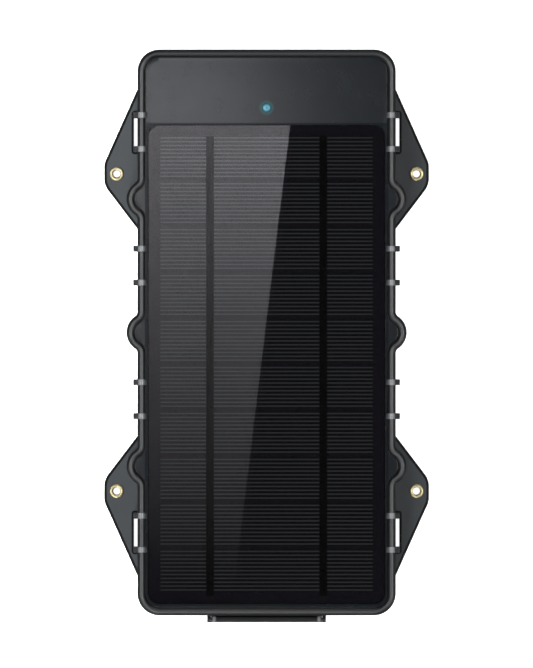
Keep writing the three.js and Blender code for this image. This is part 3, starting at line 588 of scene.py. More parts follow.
# the same elastomer with a painted highlight: paler on a pair of collars, above the given height
def collarHighlights(material, at, reach, low, crest):
    tree = material.node_tree
    shader = tree.nodes["Principled BSDF"]
    parts = split(tree, objectPlace(tree))
    off = calculate(tree, "SUBTRACT", calculate(tree, "ABSOLUTE", parts["X"]), at)
    away = calculate(tree, "ABSOLUTE", off)
    across = carried(tree, away, 0.1 * mm, reach, 1.0, 0.0, curve="SMOOTHSTEP")
    tall = carried(tree, parts["Z"], low, low + 1.5 * mm, curve="SMOOTHSTEP")
    share = calculate(tree, "MULTIPLY", across, tall)
    plain = shader.inputs["Base Color"].links[0].from_socket
    tree.links.new(mixed(tree, share, plain, linear(crest)), shader.inputs["Base Color"])


coverRubber.node_tree.nodes["Principled BSDF"].inputs["Specular IOR Level"].default_value = 0.28
# painted highlight on the two collars
collarHighlights(coverRubber, 14.85 * mm, 0.75 * mm, 11.6 * mm, "#747678")

# soft dark silicone with no shine, and a key a step paler than what surrounds it
sealRubber = moulded("siliconeRubber", "#242424", "#2c2c2c", (0.7, 0.8), 0.5 * mm, 0.01 * mm)
keyPlastic = moulded("satinKeyPlastic", "#4c4f52", "#55585b", (0.4, 0.5), 0.3 * mm, 0.006 * mm)

# pale worn brass that stays bright against the ears; plated steel and foil with a cold sheen
brass = metal("satinBrass", "#d0c28e", "#dfd4ac", (0.4, 0.5), (1, 1, 1))
steel = metal("nickelPlatedSteel", "#9c9fa2", "#b4b7ba", (0.26, 0.4), (1, 1, 4))
foil = metal("pouchFoil", "#b4b8bc", "#c8ccd0", (0.3, 0.5), (1, 1, 1))

# inside the case: chalky tape and foam, glossy green mask, dull black epoxy, shiny wire
tapeWhite = moulded("whiteFoamTape", "#d4d4d2", "#e2e2e0", (0.7, 0.85), 0.8 * mm, 0.02 * mm)
foam = moulded("closedCellFoam", "#6c6e70", "#7e8082", (0.85, 0.95), 0.7 * mm, 0.08 * mm)
solderMask = moulded("greenSolderMask", "#154a2a", "#1d5c35", (0.3, 0.42), 1.2 * mm, 0.01 * mm)
epoxy = moulded("mouldedEpoxy", "#141517", "#1b1c1e", (0.45, 0.6), 0.25 * mm, 0.008 * mm)
redWire = moulded("redWireInsulation", "#9c1a18", "#b4211e", (0.3, 0.4), 0.6 * mm, 0.004 * mm)
blackWire = moulded("blackWireInsulation", "#0e0e0f", "#161617", (0.3, 0.4), 0.6 * mm, 0.004 * mm)

# the two things that catch light in the open port: a white tongue and its gold contacts
tonguePlastic = moulded("whiteSocketPlastic", "#cfcfca", "#dcdcd7", (0.4, 0.5), 0.4 * mm, 0.004 * mm)
contactGold = metal("goldPlatedContact", "#d9b04a", "#e6c468", (0.2, 0.3), (1, 4, 1))


# a layer seen through the clear cover: smooth, with the gloss that the cover lays over it
def laminated(name, low, high, gloss, size):
    material, tree, shader = newMaterial(name, {"Specular IOR Level": gloss})
    colourSpread(tree, shader, coordinates(tree, size), low, high)
    roughSpread(tree, shader, coordinates(tree, 20 * mm), 0.01, 0.014)
    return material


# near black with a violet cast; the cells reflect a little more than the ribbons across them
laminate = laminated("blackFibreLaminate", "#040306", "#060508", 0.5, 6 * mm)
ribbonBlack = laminated("blackCoatedRibbon", "#010101", "#020202", 0.3, 6 * mm)
silicon = laminated("nitrideCoatedSilicon", "#020204", "#030305", 0.56, 30 * mm)

# fired silver paste: a dim mirror, with a painted glow in place of the faint light that the laminate
# scatters onto it
fingerPaste = laminated("printedSilverPaste", "#3b3c3d", "#414243", 0.5, 6 * mm)
pasteSockets = fingerPaste.node_tree.nodes["Principled BSDF"].inputs
pasteSockets["Metallic"].default_value = 1.0
# painted glow, standing in for scattered light
pasteSockets["Emission Color"].default_value = linear("#202121")
pasteSockets["Emission Strength"].default_value = 1.0

# clear PET and EVA laminate, bonded to what is under it: the gloss is carried by the layers below
clearCover, clearTree, clearShader = newMaterial(
    "clearPetLaminate", {"Transmission Weight": 1.0, "IOR": 1.0, "Roughness": 0.0}
)
colourSpread(clearTree, clearShader, coordinates(clearTree, 20 * mm), "#fafcfd", "#fdfdfe")

# polycarbonate light pipe, lit from below
pipe = {"stops": [(0.0, "#3f9fb6"), (0.22, "#46a6bd"), (0.5, "#86c4de"), (0.72, "#5fa9c0"),
                  (1.0, "#1f6372")],
        "radius": 1.1 * mm, "glow": 0.62, "haloRadius": 2.6 * mm, "halo": 0.5, "flange": 1.7 * mm,
        "flangeTall": 0.45 * mm, "sink": 0.05 * mm}
lightPipe, pipeTree, pipeShader = newMaterial(
    "litPolycarbonate", {"Roughness": 0.2, "Base Color": linear("#14323a")}
)


# ---- edge bumper

# the bead's section and the ribs that wrap it; ribCut: the bevel at a rib's shoulder, across and up
bumper = {"footRound": 0.4 * mm, "beadTall": 1.8 * mm, "grooveDepth": 0.15 * mm, "gutter": 0.35 * mm,
          "innerGrow": 1.1, "gap": 0.02 * mm, "ribThickness": 1.65 * mm, "ribOverhang": 1.2 * mm,
          "ribReach": 2.75 * mm, "ribSpacing": 9.6 * mm, "ribEdge": 0.35 * mm, "ribBend": 1.15 * mm,
          "ribFoot": 0.3 * mm, "ribShoulder": 1.9 * mm, "ribCut": (0.35 * mm, 0.45 * mm),
          "ribLift": 0.15 * mm, "ribSink": 0.05 * mm, "ribCurve": 1.6}


def bumperSection():
    wall = case["bumperWall"]
    heel = bumper["footRound"]
    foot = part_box("edge_bumper")[0].z
    radius = wall / 2
    points = [(heel, foot), (heel * 0.3, foot + heel * 0.3), (0, foot + heel)]
    drop = case["beadHeight"] + bumper["grooveDepth"]
    inner = math.asin(1 - drop / bumper["beadTall"])
    wallEnd = shellInset - bumper["gap"]
    for x, z in arc(0, 0, 1, math.pi, inner, 22):
        reach = radius if x < 0 else bumper["innerGrow"] * radius
        points.append((radius + reach * x, crestLevel + bumper["beadTall"] * (z - 1)))
    floor = crestLevel - drop - bumper["gutter"]
    points += [(points[-1][0] + bumper["gap"], floor), (wallEnd, floor), (wallEnd, foot)]
    return points


def makeRib():
    low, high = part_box("edge_bumper")
    foot, top = low.z, high.z
    radius = case["bumperWall"] / 2
    bend = crestLevel - radius
    lift = faceLevel + bumper["ribLift"]
    over = []
    for x, z in arc(0, 0, 1, 0, math.pi / 2, 9):
        over.append((bumper["ribBend"] * x - radius, bend + (top - bend) * z))
    for step in range(1, 10):
        share = step / 9
        inboard = -radius - (bumper["ribReach"] - radius) * share
        over.append((inboard, lift + (top - lift) * (1 - share ** bumper["ribCurve"])))
    shoulder = crestLevel - bumper["ribShoulder"]
    edge = bumper["ribOverhang"]
    sink = faceLevel - bumper["ribSink"]
    across, up = bumper["ribCut"]
    profile = [(-radius, foot), (edge - bumper["ribFoot"], foot), (edge, foot + bumper["ribFoot"])]
    profile += [(edge, shoulder), (edge - across, shoulder + up), *over]
    profile += [(-bumper["ribReach"], sink), (-radius, sink)]
    half = bumper["ribThickness"] / 2
    rib = loft("rib", [[(u, v, z) for u, z in profile] for v in (-half, half)])
    bevel = rib.modifiers.new("edges", "BEVEL")
    bevel.width = bumper["ribEdge"]
    bevel.segments = 4
    bevel.limit_method = "ANGLE"
    bevel.angle_limit = math.radians(50)
    return applyAll(rib)


port = {"below": 0.2 * mm, "above": 0.15 * mm, "corner": 0.6 * mm, "pinEnd": 0.1 * mm}
pinSide = span("port_cover_pin").x / 2 + port["pinEnd"]


# the frame round the port cover, as a block that runs along Y
def portWindow(name, grow, y0, y1):
    pin = middle("port_cover_pin")
    low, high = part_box("port_cover")
    bottom, top = low.z - port["below"], high.z + port["above"]
    corners = (Vector((pin.x - pinSide, 0, bottom)), Vector((pin.x + pinSide, 0, top)))
    return standingBox(name, *corners, -grow, port["corner"], y0, y1)


rings = [[(x, y, level) for x, y in caseOutline(inset)] for inset, level in bumperSection()]
edgeBumper = loft("edgeBumper", rings, closed=True)
near = (2, (0, bumper["ribSpacing"], 0))  # how many, and the step between them
far = (4, (0, 2 * sideStep, 0))
ribs = repeatPiece("bumperRibs", makeRib(), ribRubber, (0, 0, 0), near, far, 2, halfWidth)
smooth(ribs, 50)
finishPiece(ribs, ribRubber, "bumper_rubber", "case")
carve(edgeBumper, [portWindow("window", 0.2 * mm, -halfLength - mm, -halfLength + 3.5 * mm)])
smooth(edgeBumper)
finishPiece(edgeBumper, bumperRubber, "bumper_rubber", "case", "edge_bumper")
print("edge bumper made")


# ---- front shell

front = {"recessFlare": 0.08 * mm, "recessGap": 0.15 * mm, "cavityInset": 5.5 * mm,
         "cavityCorner": 3 * mm, "frameProud": 0.12 * mm, "ceiling": 1.6 * mm, "recessDepth": 2 * mm,
         "bayFloor": 1.6 * mm, "bayHalf": 14.2 * mm, "bayRim": 0.35 * mm, "bayCorner": 0.8 * mm,
         "dullWidth": 0.5 * mm, "dullFade": 0.45 * mm, "dullGloss": 0.2, "dullSide": 0.35 * mm,
         "lipHeight": 0.05 * mm, "lipRound": 0.1 * mm, "lipWidth": 1.25 * mm, "footRound": 0.2 * mm,
         "lugRadius": 0.95 * mm, "lugWidth": 1.1 * mm, "lugDrop": (1.3 * mm, 1.9 * mm),
         "socketGap": 0.15 * mm, "socketDepth": 6 * mm, "socketCorner": 0.5 * mm,
         "keyHole": (1.9 * mm, 2 * mm), "keyHoleCorner": 0.6 * mm, "pinBore": 0.5 * mm,
         "pipeHole": (1.18 * mm, 1.3 * mm), "screwBore": (1.05 * mm, 13 * mm)}
panelLow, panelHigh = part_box("panel_cover")
panelCorner = 3.1 * mm


def panelOutline(grow):
    low, high = panelLow, panelHigh
    sides = (low.x - grow, high.x + grow, low.y - grow, high.y + grow)
    return roundedBox(*sides, panelCorner + grow, 12)


# painted shade: the strip beside the panel takes less gloss, standing in for the shade of the recess and
# the bead
def shadedStrip():
    size = panelHigh - panelLow
    corner = [size.x / 2 + front["dullSide"], size.y / 2, 0]
    centre = [-(panelHigh.x + panelLow.x) / 2, -(panelHigh.y + panelLow.y) / 2, 0]
    centred = vectorCalculate(faceTree, "ADD", objectPlace(faceTree), centre)
    folded = vectorCalculate(faceTree, "ABSOLUTE", centred)
    parts = split(faceTree, vectorCalculate(faceTree, "SUBTRACT", folded, corner))
    away = calculate(faceTree, "MAXIMUM", parts["X"], parts["Y"])
    end = front["dullWidth"] + front["dullFade"]
    gloss = carried(faceTree, away, front["dullWidth"], end, front["dullGloss"], 0.5, "SMOOTHSTEP")
    faceTree.links.new(gloss, faceShader.inputs["Specular IOR Level"])


def caseRoom(name, inset, bottom, top):
    across, along = halfWidth - inset, halfLength - inset
    outline = roundedBox(-across, across, -along, along, front["cavityCorner"])
    return slab(name, lambda more: outline, bottom, top)


def recessTool():
    gap = front["recessGap"]
    flare = front["recessFlare"]
    levels = [(gap, faceLevel - front["recessDepth"]), (gap, faceLevel - flare)]
    levels += [(gap + flare * 0.35, faceLevel - flare * 0.35), (gap + flare, faceLevel)]
    levels += [(gap + flare, faceLevel + mm)]
    return loft("recess", [[(x, y, z) for x, y in panelOutline(grow)] for grow, z in levels])


def socketTool(node):
    low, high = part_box(node)
    grow = front["socketGap"]
    radius = (high.z - low.z) / 2 + grow if node == "usb_c_socket" else front["socketCorner"]
    start = -halfLength + front["bayFloor"] - 0.5 * mm
    end = -halfLength + front["socketDepth"]
    return standingBox(node + "Tool", low, high, -grow, radius - 0.02 * mm, start, end)


def makeFrontShell():
    hinge = middle("port_cover_pin")
    lip = faceLevel + front["lipHeight"]
    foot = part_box("front_shell")[0].z
    rims = softRims(foot, lip, front["footRound"], front["lipRound"], 3)
    rims += [(front["lipWidth"], faceLevel)]
    rings = [[(x, y, z) for x, y in caseOutline(shellInset + inset)] for inset, z in rims]
    shell = loft("frontShell", rings)
    end = -halfLength
    frame = portWindow("frame", 0, end - front["frameProud"], end + front["cavityInset"])
    radius = front["lugRadius"]
    tip, root = front["lugDrop"]
    outline = arc(hinge.y, hinge.z, radius, math.pi / 2, math.pi, 8)
    outline += [(hinge.y - radius, hinge.z - tip), (end + mm, hinge.z - root)]
    outline += [(end + mm, hinge.z + radius)]
    lugs = []
    for sign in (-1, 1):
        sides = sorted((sign * (pinSide - front["lugWidth"]), sign * pinSide))
        lugs.append(loft("lug", [[(x, y, z) for y, z in outline] for x in sides]))
    carve(shell, [frame, *lugs], "UNION")
    ceiling = faceLevel - front["recessDepth"] - front["ceiling"]
    bayLow = Vector((-front["bayHalf"], 0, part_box("port_seal")[0].z - front["bayRim"]))
    bayHigh = Vector((front["bayHalf"], 0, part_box("port_seal")[1].z + front["bayRim"]))
    bayEnd = end + front["bayFloor"]
    keyHole = around(middle("power_key"), *front["keyHole"])
    hole, mouth = front["pipeHole"]
    levels = [(hole, ceiling - mm), (hole, faceLevel - 0.1 * mm), (mouth, faceLevel + 0.02 * mm)]
    pipeAt = middle("indicator_light_pipe")
    tools = [
        recessTool(),
        caseRoom("cavity", front["cavityInset"], -mm, ceiling),
        standingBox("bay", bayLow, bayHigh, 0, front["bayCorner"], end - mm, bayEnd),
        socketTool("usb_a_socket"),
        socketTool("usb_c_socket"),
        standingBox("keyHole", *keyHole, 0, front["keyHoleCorner"], end + mm, end + front["socketDepth"]),
        turned("pipeHole", levels, pipeAt.x, pipeAt.y),
        bar("pinBore", -pinSide - mm, pinSide + mm, hinge.y, hinge.z, front["pinBore"]),
    ]
    bore, depth = front["screwBore"]
    for name in screws:
        place = middle(name)
        tools.append(turned(name + "Bore", [(bore, 0), (bore, depth)], place.x, place.y, 24))
    carve(shell, tools)
    return smooth(shell, 35)


shadedStrip()
frontShell = makeFrontShell()
finishPiece(frontShell, facePlastic, "front_plastic", "case", "front_shell")
print("front shell made")


# ---- back shell with its ears

# chamfer: millimetres in from the edge, and below the top; slotStep: wider by, deep, corner
ear = {"reach": 9.5 * mm, "outerRoot": 12.45 * mm, "outerShoulder": 8.75 * mm,
       "innerShoulder": 14.95 * mm, "innerRoot": 27.45 * mm, "upperRadius": 5.2 * mm,
       "lowerRadius": 5.8 * mm, "shoulderRadius": 1.2 * mm, "rootRadius": 1 * mm, "rootDepth": 7.5 * mm,
       "footRound": 0.35 * mm, "chamfer": [(0, 0.55), (0.1, 0.4), (0.25, 0.3), (0.72, 0.1), (0.78, 0.0)],
       "slotWidth": 1.1 * mm, "slotLength": 11 * mm, "slotUndercut": 0.1 * mm, "slotCorner": 0.3 * mm,
       "slotStep": (0.65 * mm, 0.3 * mm, 0.8 * mm), "plateInset": 0.4 * mm,
       "plateRounds": (0.5 * mm, 0.3 * mm),
       "eyeletHole": 1.5 * mm, "eyeletSink": (2.1 * mm, 0.6 * mm), "screwHole": 1.2 * mm,
       "screwSink": (2.1 * mm, 1.35 * mm)}
slotStation = 3 * sideStep


def earCorners():
    rootX = halfWidth - ear["rootDepth"]
    tipX = halfWidth + ear["reach"]
    return [
        (rootX, slotStation - ear["innerRoot"]),
        (halfWidth, slotStation - ear["innerRoot"]),
        (tipX, slotStation - ear["innerShoulder"]),
        (tipX, slotStation - ear["outerShoulder"]),
        (halfWidth, slotStation + ear["outerRoot"]),
        (rootX, slotStation + ear["outerRoot"]),
    ]


def makeEar(across, along):
    root = [ear["rootRadius"], ear["shoulderRadius"]]
    radii = [*root, ear["lowerRadius"], ear["upperRadius"], *root[::-1]]

    def outline(inset):
        points = roundedCorners(earCorners(), radii, inset, 10)
        placed = [(across * x, along * y) for x, y in points]
        return placed if across * along > 0 else placed[::-1]

    rims = softRims(0, plateTop, ear["footRound"], 0, 5)[:6]
    rims += [(inset * mm, plateTop - drop * mm) for inset, drop in ear["chamfer"]]
    return loft("ear", [[(x, y, level) for x, y in outline(inset)] for inset, level in rims])


def makeBackShell():
    sides = ear["plateInset"]
    plate = slab("backShell", lambda inset: caseOutline(sides + inset), 0, plateTop, *ear["plateRounds"])
    corners = [(across, along) for across in (-1, 1) for along in (-1, 1)]
    carve(plate, [makeEar(across, along) for across, along in corners], "UNION")
    top = plateTop + mm
    tools = [caseRoom("pocket", front["cavityInset"], plateTop - mm, top)]
    inner, outer = halfWidth - ear["slotUndercut"], halfWidth + ear["slotWidth"]
    step, deep, corner = ear["slotStep"]
    for across, along in corners:
        x0, x1 = sorted((across * inner, across * outer))
        y0 = along * slotStation - ear["slotLength"] / 2
        y1 = along * slotStation + ear["slotLength"] / 2
        tools.append(blockOf("slot", x0, x1, y0, y1, -mm, top, ear["slotCorner"]))
        ledge = (x0 - step, x1 + step, y0 - step, y1 + step, plateTop - deep, top)
        tools.append(blockOf("slotStep", *ledge, corner))
    for names, hole, sink in [
        (eyelets, ear["eyeletHole"], ear["eyeletSink"]),
        (screws, ear["screwHole"], ear["screwSink"]),
    ]:
        for name in names:
            place = middle(name)
            tools.append(turned("hole", [(hole, -mm), (hole, top)], place.x, place.y, 32))
            tools.append(turned("sink", [(sink[0], -mm), sink], place.x, place.y, 32))
    carve(plate, tools)
    return smooth(plate, 35)


backShell = makeBackShell()
finishPiece(backShell, backPlastic, "back_plastic", "case", "back_shell")
print("back shell made")


# ---- eyelets and screws

# radii, then the curl at the back and the gap under the flange
eyelet = {"hole": 1 * mm, "barrel": 1.4 * mm, "flange": 2 * mm, "curl": 0.17 * mm, "gap": 0.05 * mm,
          "undercut": 0.12 * mm}


def makeEyelet():
    low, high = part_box(eyelets[0])
    hole, barrel, flange = eyelet["hole"], eyelet["barrel"], eyelet["flange"]
    curl = eyelet["curl"]
    seat = plateTop + eyelet["gap"]
    quarter = math.pi / 2
    profile = [(hole, low.z), *arc(flange - curl, low.z + curl, curl, -quarter, quarter, 8)]
    profile += [(barrel, low.z + 2 * curl), (barrel, seat), (flange - eyelet["undercut"], seat)]
    crown = high.z - seat
    for step in range(13):
        angle = math.pi * step / 12
        across = (flange + hole) / 2 + (flange - hole) / 2 * math.cos(angle)
        profile.append((across, high.z - crown * (1 - math.sin(angle)) * 0.9))
    loops = [
        [(x, y, z) for x, y in arc(0, 0, radius, 0, 2 * math.pi, 40)[:-1]] for radius, z in profile
    ]
    return loft("eyelet", loops, closed=True)


eyeletX = max(middle(name).x for name in eyelets)
eyeletY = max(middle(name).y for name in eyelets)
one = (1, (0, 0, 0))
far = (2, (0, 2 * eyeletY, 0))
brassEyelets = repeatPiece("brassEyelets", makeEyelet(), brass, (0, 0, 0), one, far, 2, eyeletX)
smooth(brassEyelets, 50)
finishPiece(brassEyelets, brass, "eyelet_brass", "case", *eyelets)


# arm: half the length, half the width and the depth of the cross in the head
screw = {"shank": 1 * mm, "headHeight": 1.2 * mm, "headRound": 0.2 * mm, "point": 1.2 * mm,
         "tip": 0.1 * mm, "arm": (1.15 * mm, 0.2 * mm, 0.7 * mm)}


def makeScrew():
    low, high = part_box(screws[0])
    radius = span(screws[0]).x / 2
    shank, head, edge = screw["shank"], low.z + screw["headHeight"], screw["headRound"]
    profile = [(radius - edge, low.z), (radius, low.z + edge), (radius, head), (shank, head)]
    profile += [(shank, high.z - screw["point"]), (screw["tip"], high.z)]
    blank = turned("screw", profile, 0, 0, 40)
    reach, thick, deep = screw["arm"]
    arms = []
    for turn in (0, math.pi / 2):
        arm = blockOf("arm", -reach, reach, -thick, thick, low.z - mm, low.z + deep)
        arm.data.transform(Matrix.Rotation(turn, 4, "Z"))
        arms.append(arm)
    return carve(blank, arms)


far = (3, (0, 2 * sideStep, 0))
caseScrews = repeatPiece("caseScrews", makeScrew(), steel, (0, 0, 0), one, far, 2, screwX)
smooth(caseScrews)
finishPiece(caseScrews, steel, "plated_steel", "case", *screws)
print("eyelets and screws made")


# ---- solar panel

panel = {"rim": 0.16 * mm, "footRim": 0.03 * mm, "fingers": 11, "fingerPitch": 1.09 * mm,
         "fingerWidth": 0.42 * mm, "fingerHeight": 0.03 * mm, "fingerGap": 0.002 * mm,
         "fingerLength": 60 * mm, "fingerShift": 0.35 * mm}

panelRims = (panel["footRim"], panel["rim"])
panelCover = slab(
    "panelCover", lambda inset: panelOutline(-inset), panelLow.z, panelHigh.z, *panelRims
)
smooth(panelCover, 60)
finishPiece(panelCover, clearCover, "panel_clear", "case", "panel_cover")
panelCover.visible_shadow = False  # lamps reach the cells through the clear layer


def makeFinger():
    half = panel["fingerLength"] / 2
    wide = panel["fingerWidth"] / 2
    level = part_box(cells[0])[1].z
    bottom, top = level + panel["fingerGap"], level + panel["fingerHeight"]
    return blockOf("finger", -half, half, -wide, wide, bottom, top)


cellStep = (middle(cells[0]).y - middle(cells[-1]).y) / (len(cells) - 1)
cellMiddle = (middle(cells[0]).y + middle(cells[-1]).y) / 2
place = (0, cellMiddle - panel["fingerShift"], 0)
near = (panel["fingers"], (0, -panel["fingerPitch"], 0))
far = (len(cells), (0, -cellStep, 0))
cellFingers = repeatPiece("cellFingers", makeFinger(), fingerPaste, place, near, far)
finishPiece(cellFingers, fingerPaste, "cell_silicon", "case")
print("panel made")


# ---- indicator

def makeLightPipe():
    low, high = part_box("indicator_light_pipe")
    place = middle("indicator_light_pipe")
    radius, flange, sink = pipe["radius"], pipe["flange"], pipe["sink"]
    neck = low.z + pipe["flangeTall"]
    base = faceLevel - sink
    profile = [(flange, low.z), (flange, neck), (radius, neck + sink), (radius, base)]
    dome = arc(0, 0, 1, 0, math.pi / 2, 8)[1:-1]
    profile += [(radius * across, base + (high.z - base) * up) for across, up in dome]
    return turned("lightPipe", [*profile, (sink, high.z)], place.x, place.y, 40)


def fromPipe(tree):
    place = middle("indicator_light_pipe")
    values = {"Location": (-place.x, -place.y, 0), "Scale": (1, 1, 0)}
    centred = addNode(tree, "ShaderNodeMapping", values, {"Vector": objectPlace(tree)})
    return vectorCalculate(tree, "LENGTH", centred.outputs[0])


def lightUp():
    share = calculate(pipeTree, "DIVIDE", fromPipe(pipeTree), pipe["radius"])
    glow = ramped(pipeTree, share, [(at, linear(colour)) for at, colour in pipe["stops"]])
    pipeTree.links.new(glow, pipeShader.inputs["Emission Color"])
    pipeShader.inputs["Emission Strength"].default_value = pipe["glow"]


# light that leaks into the plastic round the pipe
def haloOnFace():
    radius, end = pipe["radius"], pipe["haloRadius"]
    fade = carried(faceTree, fromPipe(faceTree), radius, end, 1.0, 0.0, "SMOOTHERSTEP")
    glow = mixed(faceTree, fade, (0, 0, 0, 1), linear("#0f5a5c"))
    faceTree.links.new(glow, faceShader.inputs["Emission Color"])
    faceShader.inputs["Emission Strength"].default_value = pipe["halo"]


lightUp()
haloOnFace()
indicatorPipe = makeLightPipe()
smooth(indicatorPipe, 50)
finishPiece(indicatorPipe, lightPipe, "light_pipe", "case", "indicator_light_pipe")
print("indicator made")


# ---- port cover, its pin and its seal

cover = {"knuckle": 0.95 * mm, "squareness": 3, "step": 0.06 * mm, "edge": 0.25 * mm,
         "collar": 1.4 * mm, "collarProud": 0.02 * mm, "collarEdge": 0.15 * mm, "sideGrow": 0.27 * mm,
         "outerCorner": 0.5 * mm, "innerCorner": 0.25 * mm, "plugWall": 1.2 * mm, "plugCorner": 0.6 * mm,
         "plugRims": (0.05 * mm, 0.15 * mm), "bore": 0.5 * mm, "pin": (0.45 * mm, 0.12 * mm)}


# the flap seen from its end: a knuckle round the pin with the plate hanging from it
def flapOutline(inset):
    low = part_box("port_cover")[0].z + inset
    hinge = middle("port_cover_pin")
    radius = cover["knuckle"] - inset
    quarter = math.pi / 2
    flat = 2 / cover["squareness"]
    outline = []
    for y, z in arc(0, 0, 1, 0, math.pi, 24):
        side = math.copysign(abs(y) ** flat, y)
        outline.append((hinge.y + radius * side, hinge.z + radius * abs(z) ** flat))
    outer = max(cover["outerCorner"] - inset, 0.05 * mm)
    inner = max(cover["innerCorner"] - inset, 0.05 * mm)
    outline += arc(hinge.y - radius + outer, low + outer, outer, 2 * quarter, 3 * quarter, 5)
    back = hinge.y + cover["knuckle"] - min(inset, 0.02 * mm)
    outline += arc(back - inner, low + inner, inner, 3 * quarter, 4 * quarter, 5)
    outline += [(back, hinge.z - 0.35 * cover["knuckle"])]
    return outline


def flapBar(name, x0, x1, inset, edge):
    rims = softRims(x0, x1, edge, edge, 4)
    return loft(name, [[(along, y, z) for y, z in flapOutline(inset + more)] for more, along in rims])


def makePortCover():
    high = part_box("port_cover")[1]
    hinge = middle("port_cover_pin")
    half = high.x + cover["sideGrow"]
    inset = half - cover["collarProud"]
    plate = flapBar("portCover", -inset, inset, cover["step"], cover["edge"])
    collars = []
    for sign in (-1, 1):
        x0, x1 = sorted((sign * half, sign * (half - cover["collar"])))
        collars.append(flapBar("collar", x0, x1, 0, cover["collarEdge"]))
    start = hinge.y + cover["knuckle"] - cover["step"] - 0.2 * mm
    shape = (cover["plugWall"], cover["plugCorner"], start, high.y, *cover["plugRims"])
    carve(plate, [*collars, standingBox("plug", *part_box("port_seal"), *shape)], "UNION")
    carve(plate, [bar("bore", -half - mm, half + mm, hinge.y, hinge.z, cover["bore"])])
    return smooth(plate, 35)


# section: (millimetres in from the outer edge, share of the seal's thickness)
seal = {"corner": 1.6 * mm, "section": [(0.1, 0), (0, 0.15), (0, 0.75), (0.25, 0.97), (0.58, 1),
                                        (0.9, 0.97), (1.15, 0.75), (1.15, 0)]}


def makePortSeal():
    low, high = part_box("port_seal")
    loops = []
    for inset, along in seal["section"]:
        grow = inset * mm
        sides = (low.x + grow, high.x - grow, low.z + grow, high.z - grow)
        ring = roundedBox(*sides, seal["corner"] - grow, 6)
        loops.append([(x, low.y + along * (high.y - low.y), z) for x, z in ring])
    return smooth(loft("portSeal", loops, closed=True), 50)


portCover = makePortCover()
finishPiece(portCover, coverRubber, "bumper_rubber", "port_cover", "port_cover")
portSeal = makePortSeal()
finishPiece(portSeal, sealRubber, "seal_rubber", "port_cover", "port_seal")
pinLow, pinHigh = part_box("port_cover_pin")
pinAt = middle("port_cover_pin")
hingePin = bar("hingePin", pinLow.x, pinHigh.x, pinAt.y, pinAt.z, *cover["pin"])
smooth(hingePin, 50)
finishPiece(hingePin, steel, "plated_steel", "case", "port_cover_pin")
print("port cover made")


# ---- sockets and key

# contact: half its width, its length and its thickness
usbA = {"wall": 0.35 * mm, "corner": 0.5 * mm, "rims": (0.1 * mm, 0.05 * mm), "mouthDepth": 9.5 * mm,
        "mouthCorner": 0.3 * mm, "tongueHalf": 5.55 * mm, "tongueGap": 0.7 * mm, "tongueTall": 1.8 * mm,
        "tongueCorner": 0.25 * mm, "tongueRims": (0.15 * mm, 0.05 * mm), "pitch": 2.2 * mm,
        "contact": (0.5 * mm, 6 * mm, 0.08 * mm), "contactStart": 1.6 * mm, "contactDrop": 1.89 * mm}


def makeUsbA():
    low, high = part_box("usb_a_socket")
    centre = middle("usb_a_socket")
    wall, corner, rims = usbA["wall"], usbA["corner"], usbA["rims"]
    shell = standingBox("usbAShell", low, high, 0, corner, low.y, high.y, *rims)
    mouthEnd = low.y + usbA["mouthDepth"]
    carve(shell, [standingBox("mouth", low, high, wall, usbA["mouthCorner"], low.y - mm, mouthEnd)])
    smooth(shell, 35)
    finishPiece(shell, steel, "plated_steel", "case", "usb_a_socket")
    half = usbA["tongueHalf"]
    top = high.z - wall - usbA["tongueGap"]
    corners = (Vector((centre.x - half, 0, top - usbA["tongueTall"])), Vector((centre.x + half, 0, top)))
    rims = usbA["tongueRims"]
    end = mouthEnd - rims[1]
    tongue = standingBox("usbATongue", *corners, 0, usbA["tongueCorner"], low.y + mm, end, *rims)
    smooth(tongue)
    finishPiece(tongue, tonguePlastic, "white_tape", "case")
    half, long, thick = usbA["contact"]
    strip = blockOf("strip", -half, half, 0, long, 0, thick, 0.1 * mm)
    place = (centre.x, low.y + usbA["contactStart"], top - usbA["contactDrop"])
    contacts = repeatPiece("usbAContacts", strip, contactGold, place, (4, (usbA["pitch"], 0, 0)), one)
    finishPiece(contacts, contactGold, "eyelet_brass", "case")


# tongue: half its width and half its thickness
usbC = {"wall": 0.3 * mm, "rims": (0.08 * mm, 0.05 * mm), "mouthDepth": 5.5 * mm, "setback": 0.8 * mm,
        "tongue": (3.3 * mm, 0.35 * mm), "tongueCorner": 0.4 * mm, "tongueRim": 0.1 * mm}


def makeUsbC():
    low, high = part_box("usb_c_socket")
    centre = middle("usb_c_socket")
    wall = usbC["wall"]
    corner = (high.z - low.z) / 2 - 0.05 * mm
    shell = standingBox("usbCShell", low, high, 0, corner, low.y, high.y, *usbC["rims"], 12)
    mouth = (low.y - mm, low.y + usbC["mouthDepth"])
    carve(shell, [standingBox("mouth", low, high, wall, corner - wall, *mouth, steps=12)])
    smooth(shell, 35)
    finishPiece(shell, steel, "plated_steel", "case", "usb_c_socket")
    half, thick = usbC["tongue"]
    end = low.y + usbC["mouthDepth"] - 0.05 * mm
    sides = (centre.x - half, centre.x + half, low.y + usbC["setback"], end)
    shape = (centre.z - thick, centre.z + thick, usbC["tongueCorner"], usbC["tongueRim"])
    tongue = blockOf("usbCTongue", *sides, *shape)
    smooth(tongue)
    finishPiece(tongue, epoxy, "chip_black", "case")


# cap: how far it reaches from its middle, to the side and up
key = {"cap": (1.7 * mm, 1.8 * mm), "capCorner": 0.7 * mm, "capRound": 0.3 * mm, "gap": 0.2 * mm,
       "flange": 0.8 * mm, "flangeCorner": 0.4 * mm, "stem": 0.8 * mm, "dimple": 0.9 * mm,
       "dimpleDepth": 0.12 * mm}


